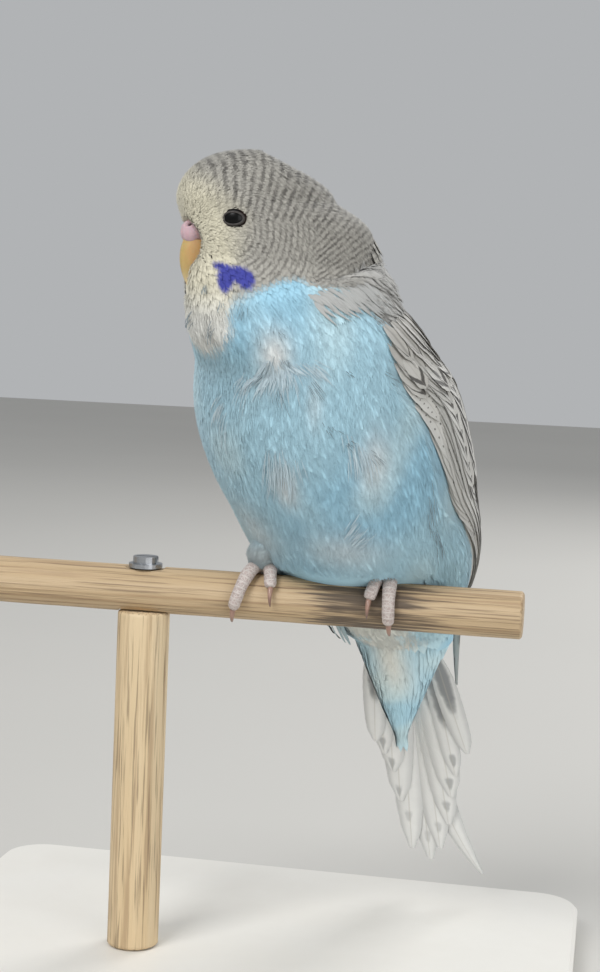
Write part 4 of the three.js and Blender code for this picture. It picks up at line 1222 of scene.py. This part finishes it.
def tail_parts():
    local = np.random.default_rng(91)
    made = []
    count = len(RECTRICES)
    for i, (tip, side) in enumerate(RECTRICES):
        place = (i - (count - 1) / 2) / ((count - 1) / 2)
        depth = (abs(place) * (count - 1) / 2 - 0.5) * RECTRIX["step"] - 1.2
        t = np.linspace(0, 1, 40)
        across = blend(place * RECTRIX["root_across"], side, t ** 3 if i == BENT else t)
        line = on_tail(blend(RECTRIX["root_along"], tip, t), across, depth + 0.15 * np.sin(math.pi * t))
        normals = np.broadcast_to(tail_belly, line.shape)
        shape = [0.55, 0.8, 0.95, 1.0, 1.0, 0.98, 0.92, 0.85, 0.68, 0.2]
        if i == BENT:
            shape = [0.55, 0.8, 0.95, 1.0, 1.0, 0.95, 0.85, 0.7, 0.45, 0.1]
        half = RECTRIX["half"] * (0.95 if abs(place) > 0.75 else 1.3)
        points, faces, carried = vane(line, normals, half, shape, 0.05, 0.16, 0.0, 15, 0.015, local)
        s = carried["blade"][:, 0]
        down = blend(RECTRIX["root_along"], tip, carried["blade"][:, 1])
        spots = np.array(PATCHES[i])
        below = (down[:, None] - spots[:, 0]) / spots[:, 2]
        taper = spots[:, 3] * (1 - 0.45 * np.clip(below, -0.4, 1))
        near = np.exp(-below ** 4 - np.abs((s[:, None] - spots[:, 1]) / taper) ** 3)
        strongest = near.argmax(1)
        carried["patch"] = near.max(1)
        carried["depth"] = spots[strongest, 4]
        made.append((points, faces, carried))
    return made


piece("tail_feathers", joined(in_cells(tail_parts())), tail_finish(), "tail_feathers", "tail")


# Eyes, cere and bill
def eye_finish():
    made = Finish("dark_eye", 0.35, Specular_IOR_Level=0.12, Coat_Weight=0.1, Coat_Roughness=0.08)
    iris = made.mix(made.noise(900, 4.0), "2a1d18", "140e0c")
    made.base(made.mix(made.attribute("pupil").step(0.55, 0.75), "050505", iris))
    return made.material


def lid_finish():
    made = Finish("eye_ring", 0.55)
    beads = made.noise(2600, 2.0)
    made.base(made.mix(beads, "2b2725", "45403d"))
    made.bump(beads, 0.12, 0.8)
    return made.material


eye_shine, lid_skin = eye_finish(), lid_finish()
RING_WIDE, RING_HIGH = 1.85, 1.05  # the opening in the eye's ring
for side, (centre, level, up, out) in eyes.items():
    axes = np.array([level, up, out])
    points, directions, faces = ellipsoid(centre, np.full(3, EYE["radius"]), axes, 64, 40)
    pupil = np.hypot(directions[:, 0], directions[:, 1]) + (directions[:, 2] < 0)
    piece("eye_ball_" + side, (points, faces, {"pupil": pupil}), eye_shine, "eye", "eye_" + side)
    turn = np.linspace(0, 2 * math.pi, 64, endpoint=False)
    ring = []
    for wide, rise in ((0.0, -0.4), (0.0, 0.08), (0.1, 0.24), (0.25, 0.26), (0.42, 0.05), (0.5, -0.5)):
        oval = level * ((RING_WIDE + wide) * np.cos(turn))[:, None]
        oval = oval + up * ((RING_HIGH + wide) * np.sin(turn))[:, None]
        base = np.sqrt(np.maximum(EYE["radius"] ** 2 - dot(oval, oval), 0.2))
        ring.append(centre + oval + out * (base + rise)[:, None])
    ring = np.array(ring).transpose(1, 0, 2)
    corners = ring.shape[1]
    faces = grid_faces(len(ring) + 1, corners, True) % (len(ring) * corners)
    piece("eye_lid_" + side, (ring.reshape(-1, 3), [faces[:, ::-1]], {}), lid_skin, "eye")


# The cere
HEAD_AXES = np.array([head_front, head_left, UP])
cere_middle = on_head(CERE["forward"], 0.0, CERE["height"])
cere_points, cere_out, cere_faces = ellipsoid(cere_middle, np.array(CERE["size"]), HEAD_AXES, 96, 64)
forward, side, height = from_head(cere_points)
swell = 0.32 * bell(np.abs(side), 1.5, 0.9) * (forward > CERE["forward"]) - 0.3 * bell(side, 0, 0.35)
hole = np.sqrt((forward - NOSTRIL["forward"]) ** 2 + (np.abs(side) - NOSTRIL["side"]) ** 2
               + (height - NOSTRIL["height"]) ** 2)
dent = np.exp(-(hole / 0.62) ** 2)
rim = bell(hole, 0.95, 0.3) * 0.12
cere_points = cere_points + cere_out @ HEAD_AXES * (0.5 * swell + rim - 1.0 * dent)[:, None]
cere_finish = Finish("cere_skin", 0.5, Subsurface_Weight=0.15, Subsurface_Scale=0.001)
speck = cere_finish.noise(900, 4.0)
shade = cere_finish.mix(speck, "bf9fab", "cfb3b8")
# The nostrils are painted dark: painted shade standing in for the depth of the holes, which are only shallow
# dents.
nostril_shade = cere_finish.attribute("nostril_shade").step(0.35, 0.8)
cere_finish.base(cere_finish.mix(nostril_shade, shade, "4a3338"))
cere_finish.bump(cere_finish.noise(2200), 0.08, 0.6)
piece("cere_skin", (cere_points, cere_faces, {"nostril_shade": dent}), cere_finish.material, "cere", "cere")


def bill_finish():
    made = Finish("bill_horn", 0.38, Subsurface_Weight=0.2, Subsurface_Scale=0.001, Coat_Weight=0.15)
    streak = made.noise(260, 4.0, (3, 3, 0.5))
    warm = made.mix(streak, "c6ab6e", "b1935a")
    pale = made.mix(made.attribute("down").step(0.55, 1.0), warm, "d9c79a")
    made.base(made.mix(made.attribute("cheek") * 0.5, pale, "c59266"))
    made.bump(made.noise(700, 3.0, (2, 2, 0.6)), 0.06, 0.5)
    return made.material


bill_horn = bill_finish()
rows = spline(BILL, np.linspace(0, len(BILL) - 1, 60))
angle = np.linspace(0, 2 * math.pi, 56, endpoint=False)
middle, deep = (rows[:, 1:2] + rows[:, 2:3]) / 2, (rows[:, 1:2] - rows[:, 2:3]) / 2
rings = on_head(middle + deep * np.cos(angle), rows[:, 3:4] * np.sin(angle) * (1 - 0.22 * np.cos(angle)),
                rows[:, :1] + 0 * angle)
bill_points, bill_faces = closed_loft(rings)
_, side, height = from_head(bill_points)
down = (BILL[0, 0] - height) / (BILL[0, 0] - BILL[-1, 0])
cheek = smoothstep(np.abs(side), 1.2, 2.4)
carried = {"down": down, "cheek": cheek}
piece("bill_upper", (bill_points, bill_faces, carried), bill_horn, "bill", "beak_upper")
lower_points, _, lower_faces = ellipsoid(on_head(LOWER_BILL["forward"], 0.0, LOWER_BILL["height"]),
                                         np.array(LOWER_BILL["size"]), HEAD_AXES)
carried = {"down": np.full(len(lower_points), 0.7), "cheek": np.full(len(lower_points), 0.3)}
piece("bill_lower", (lower_points, lower_faces, carried), bill_horn, "bill", "beak_lower")


# Feet
def on_perch(x, degrees, reach):
    a = np.radians(degrees)
    x, a, reach = np.broadcast_arrays(x, a, reach)
    return np.stack([x, -reach * np.sin(a), reach * np.cos(a)], -1)


def scale_finish():
    made = Finish("scaled_skin", 0.62)
    along = made.attribute("walk")
    inputs = {"Vector": made.place, "Scale": 1350}
    grain = made.add("ShaderNodeTexVoronoi", inputs, feature="DISTANCE_TO_EDGE")
    seam = Value(made, grain.outputs["Distance"]).step(0.02, 0.16, 1.0, 0.0)
    plates = (along * 5.6).sine()
    edge = (plates.step(0.55, 1.0) * 0.55).larger(seam * 0.5)
    made.base(made.mix(edge, made.mix(made.noise(420), "a4948f", "bdaea8"), "dad5cf"))
    made.bump(plates * 0.6 - seam, 0.1, 0.7)
    return made.material


def claw_finish():
    made = Finish("claw_horn", 0.35, Coat_Weight=0.2)
    streak = made.noise(500, 3.0, (1, 3, 3))
    made.base(made.mix(made.attribute("down").step(0.3, 1.0), made.mix(streak, "a98878", "8f6f62"), "6b5249"))
    made.bump(streak, 0.05, 0.4)
    return made.material


toe_skin, claw_horn = scale_finish(), claw_finish()
for side, leg in LEGS.items():
    foot = []
    for digit, start, end, turn in leg["toes"]:
        sign = np.sign(turn)
        t = np.linspace(0, 1, 56)
        radius = blend(TOE["radius"], TOE["tip"], t)
        angles = blend(-sign * 8, turn, t)
        reach = PERCH["radius"] + 0.3 + radius
        path = on_perch(blend(start, end, t), angles, reach)
        walk = np.concatenate([[0], np.cumsum(np.linalg.norm(np.diff(path, axis=0), axis=1))])
        plump = 1 + 0.055 * np.abs(np.sin(walk * 3.3)) + 0.05 * np.sin(walk / walk[-1] * 5 * math.pi + 1)
        taper = np.where(t > 0.93, np.sqrt(np.clip(1 - ((t - 0.93) / 0.075) ** 2, 0.05, 1)), 1)
        points, faces = tube(path, radius * plump * taper, 22, radius * (0.5 + 0.5 * plump) * taper * 1.04)
        along = np.append(np.repeat(walk, 22), [walk[0], walk[-1]])
        foot.append((points, faces, {"walk": along}))
        # The claw curves on past the toe's end and back to the perch's side
        t = np.linspace(0, 1, 24)
        claw_angle = turn + sign * (1.5 + 0.8 * CLAW["turn"] * t)
        thick = 1.15 * blend(CLAW["radius"], CLAW["tip"] * 0.6, t ** 1.3)
        rise = CLAW["rise"] * np.sin(math.pi * (t * 0.8 + 0.1))
        claw_reach = PERCH["radius"] + 0.3 + CLAW["radius"] + rise
        drift = (end - start) * 0.12 * t
        points, faces = tube(on_perch(end + drift, claw_angle, claw_reach), thick, 14, thick * 0.8)
        level = np.append(np.repeat(t, 14), [0, 1])
        form = (points, faces, {"down": level})
        piece(f"claw_horn_{side}_{digit}", form, claw_horn, "claw", f"claw_{side}_{digit}")
    palm, _, faces = ellipsoid(np.array([leg["x"], 0.3, 7.1]), np.array([leg["palm"], 2.3, 1.8]), np.eye(3))
    foot.append((palm, faces, {"walk": palm[:, 2] * 0.9}))
    x, y, z, _ = leg["thigh"][-1]
    shank = np.linspace([leg["x"], 0.3, 7.4], [x, y - 0.4, z + 3.2], 20)
    points, faces = tube(shank, np.linspace(1.75, 1.5, 20), 22)
    along = np.append(np.repeat(shank[:, 2], 22), [0, 0])
    foot.append((points, faces, {"walk": along}))
    piece("foot_skin_" + side, joined(foot), toe_skin, "foot_skin", "foot_" + side)


# Perch, post, screw and base
def wood_finish(name, light, dark, stretch, worn):
    made = Finish(name, 0.62)
    fibre = made.noise(1900, 5.0, stretch)
    vein = made.noise(900, 4.0, stretch)
    broad = made.noise(140, 3.0, stretch)
    tone = made.mix(broad.step(0.3, 0.7), light, dark)
    tone = made.mix(vein.step(0.5, 0.66, 0.0, 0.55), tone, "94785a")
    tone = made.mix(fibre.step(0.52, 0.66, 0.0, 0.55), tone, "5f4c3b")
    if worn:
        streak = made.noise(1500, 4.0, (0.04, 1, 1)) + made.attribute("stain") * 0.42
        tone = made.mix(streak.step(0.72, 0.96) * 0.85, tone, "453a33")
    made.base(tone)
    made.rough(fibre.step(0.3, 0.8, 0.5, 0.8))
    made.bump(fibre + vein, 0.3, 0.8)
    return made.material


def lathe(path, start, axis, across, over, corners, wave):
    """A turned form: path gives distance along the axis and radius."""
    angle = np.linspace(0, 2 * math.pi, corners, endpoint=False)
    along = np.array([p[0] for p in path])[:, None]
    radius = np.array([p[1] for p in path])[:, None] + 0 * angle
    radius = radius + wave(along, angle) * (radius > 1)
    points = start + along[..., None] * axis + (radius * np.cos(angle))[..., None] * across
    return points + (radius * np.sin(angle))[..., None] * over


length = PERCH["right"] - PERCH["left"]
radius = PERCH["radius"]
path = [(0, radius - 0.6), (0.15, radius - 0.3), (0.5, radius)]
path += [(x, radius) for x in np.linspace(0.8, length - 0.8, 240)]
path += [(length - 0.5, radius), (length - 0.15, radius - 0.3), (length, radius - 0.6)]
grooves = rng.normal(0, 0.03, 96)
dowel = lathe(path, np.array([PERCH["left"], 0, 0.0]), np.array([1.0, 0, 0]), np.array([0, 1.0, 0]), UP, 96,
              lambda x, a: np.minimum(grooves[None, :] + 0.02 * np.sin(x * 0.4 + 3 * a), 0.0))
dowel[..., 2] = np.where(np.abs(dowel[..., 0]) < 5.6, np.clip(dowel[..., 2], -SEAT, 99), dowel[..., 2])
dowel[..., 2] = np.where(np.abs(dowel[..., 0]) < 4.0, np.clip(dowel[..., 2], -99, SEAT), dowel[..., 2])
points, faces = closed_loft(dowel)
x = points[:, 0]
burnt = smoothstep(x, 28, 43) * smoothstep(x, 80, 50)
stain = np.maximum.reduce([burnt, 0.5 * smoothstep(x, -14, -38), 0.15 + 0 * x])
perch_finish = wood_finish("perch_wood", "cbb596", "b59b76", (0.02, 1, 1), True)
piece("perch_wood", (points, faces, {"stain": stain}), perch_finish, "perch_wood", "perch")
high = POST["top"] - POST["foot"]
radius = POST["radius"]
path = [(0, radius - 0.3), (0.3, radius)] + [(z, radius) for z in np.linspace(0.8, high - 0.6, 120)]
path += [(high - 0.25, radius - 0.1), (high, radius - 0.5)]


def post_wave(z, a):
    return -0.05 * np.abs(np.sin(5 * a + z * 0.02)) - 0.05 * bell(z, high, 2) * np.abs(np.sin(23 * a))


post = lathe(path, np.array([0, 0, POST["foot"]]), UP, np.array([1.0, 0, 0]), np.array([0, 1.0, 0]), 96,
             post_wave)
post_finish = wood_finish("post_wood", "dcc8a6", "cfb68f", (1, 1, 0.03), False)
piece("post_wood", (*closed_loft(post), {}), post_finish, "perch_wood", "stand_post")

steel = Finish("zinc_screw", 0.35, Metallic=1.0)
scuff = steel.noise(600, 4.0)
steel.base(steel.mix(scuff, "b9bcc0", "8e9094"))
steel.rough(scuff.step(0.3, 0.7, 0.28, 0.5))
steel.bump(scuff, 0.05, 0.4)
paint = Finish("base_paint", 0.5)
mottle = paint.noise(45, 4.0)
paint.base(paint.mix(mottle, "e6e4de", "d9d6cf"))
paint.rough(mottle.step(0.3, 0.7, 0.42, 0.6))
paint.bump(paint.noise(900, 2.0), 0.04, 0.5)
for node, finish in (("stand_screw", steel), ("stand_base", paint)):
    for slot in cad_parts[node].material_slots:
        slot.material = finish.material

# Floor, light and camera
floor_mesh = bpy.data.meshes.new("floor")
span = 2.5
corners = [(-span, -span, 0), (span, -span, 0), (span, span, 0), (-span, span, 0)]
floor_mesh.from_pydata(corners, [], [(0, 1, 2, 3)])
floor = bpy.data.objects.new("floor", floor_mesh)
bpy.context.scene.collection.objects.link(floor)
ground = Finish("floor_surface", 0.7)
ground.base(ground.mix(ground.noise(3, 2.0), "c9c7c2", "c1bfba"))
floor_mesh.materials.append(ground.material)

world = bpy.data.worlds.new("studio")
world.use_nodes = True
world.node_tree.nodes["Background"].inputs["Color"].default_value = (0.80, 0.82, 0.84, 1)
world.node_tree.nodes["Background"].inputs["Strength"].default_value = 0.55
bpy.context.scene.world = world


def soft_light(name, place, target, size, power):
    lamp = bpy.data.lights.new(name, "AREA")
    lamp.shape = "SQUARE"
    lamp.size = size
    lamp.energy = power
    made = bpy.data.objects.new(name, lamp)
    bpy.context.scene.collection.objects.link(made)
    back = unit(np.array(place) - np.array(target))
    right = unit(np.cross(UP, back))
    turn = np.column_stack([right, np.cross(back, right), back])
    made.matrix_world = Matrix([[*turn[i], place[i]] for i in range(3)] + [[0, 0, 0, 1]])


soft_light("key", (-0.35, -0.75, 0.95), (0, 0, 0.1), 0.5, 9)
soft_light("fill", (0.75, -0.75, 0.3), (0, 0, 0.1), 0.7, 4.2)
soft_light("rim", (0.45, 0.8, 0.7), (0, 0, 0.1), 0.5, 5)

CAMERA = {"turn": 10.3, "rise": 5.2, "roll": 2.45, "far": 368, "target": [32.9, 0, 24.1], "focal": 1750,
          "high": 972}
turn, rise, roll = [math.radians(CAMERA[k]) for k in ("turn", "rise", "roll")]
backward = np.array([math.sin(turn) * math.cos(rise), -math.cos(turn) * math.cos(rise), math.sin(rise)])
level = unit(np.cross(-backward, UP))
upward = np.cross(level, -backward)
right = level * math.cos(roll) + upward * math.sin(roll)
upward = upward * math.cos(roll) - level * math.sin(roll)
spot = (np.array(CAMERA["target"]) + backward * CAMERA["far"] + OFFSET) / 1000
lens = bpy.data.cameras.new("camera")
lens.sensor_width = 36
lens.lens = CAMERA["focal"] / CAMERA["high"] * 36
lens.clip_start = 0.01
camera = bpy.data.objects.new("camera", lens)
bpy.context.scene.collection.objects.link(camera)
axes = np.column_stack([right, upward, backward])
camera.matrix_world = Matrix([[*axes[i], spot[i]] for i in range(3)] + [[0, 0, 0, 1]])
bpy.context.scene.camera = camera
bpy.context.scene.view_settings.view_transform = "Standard"
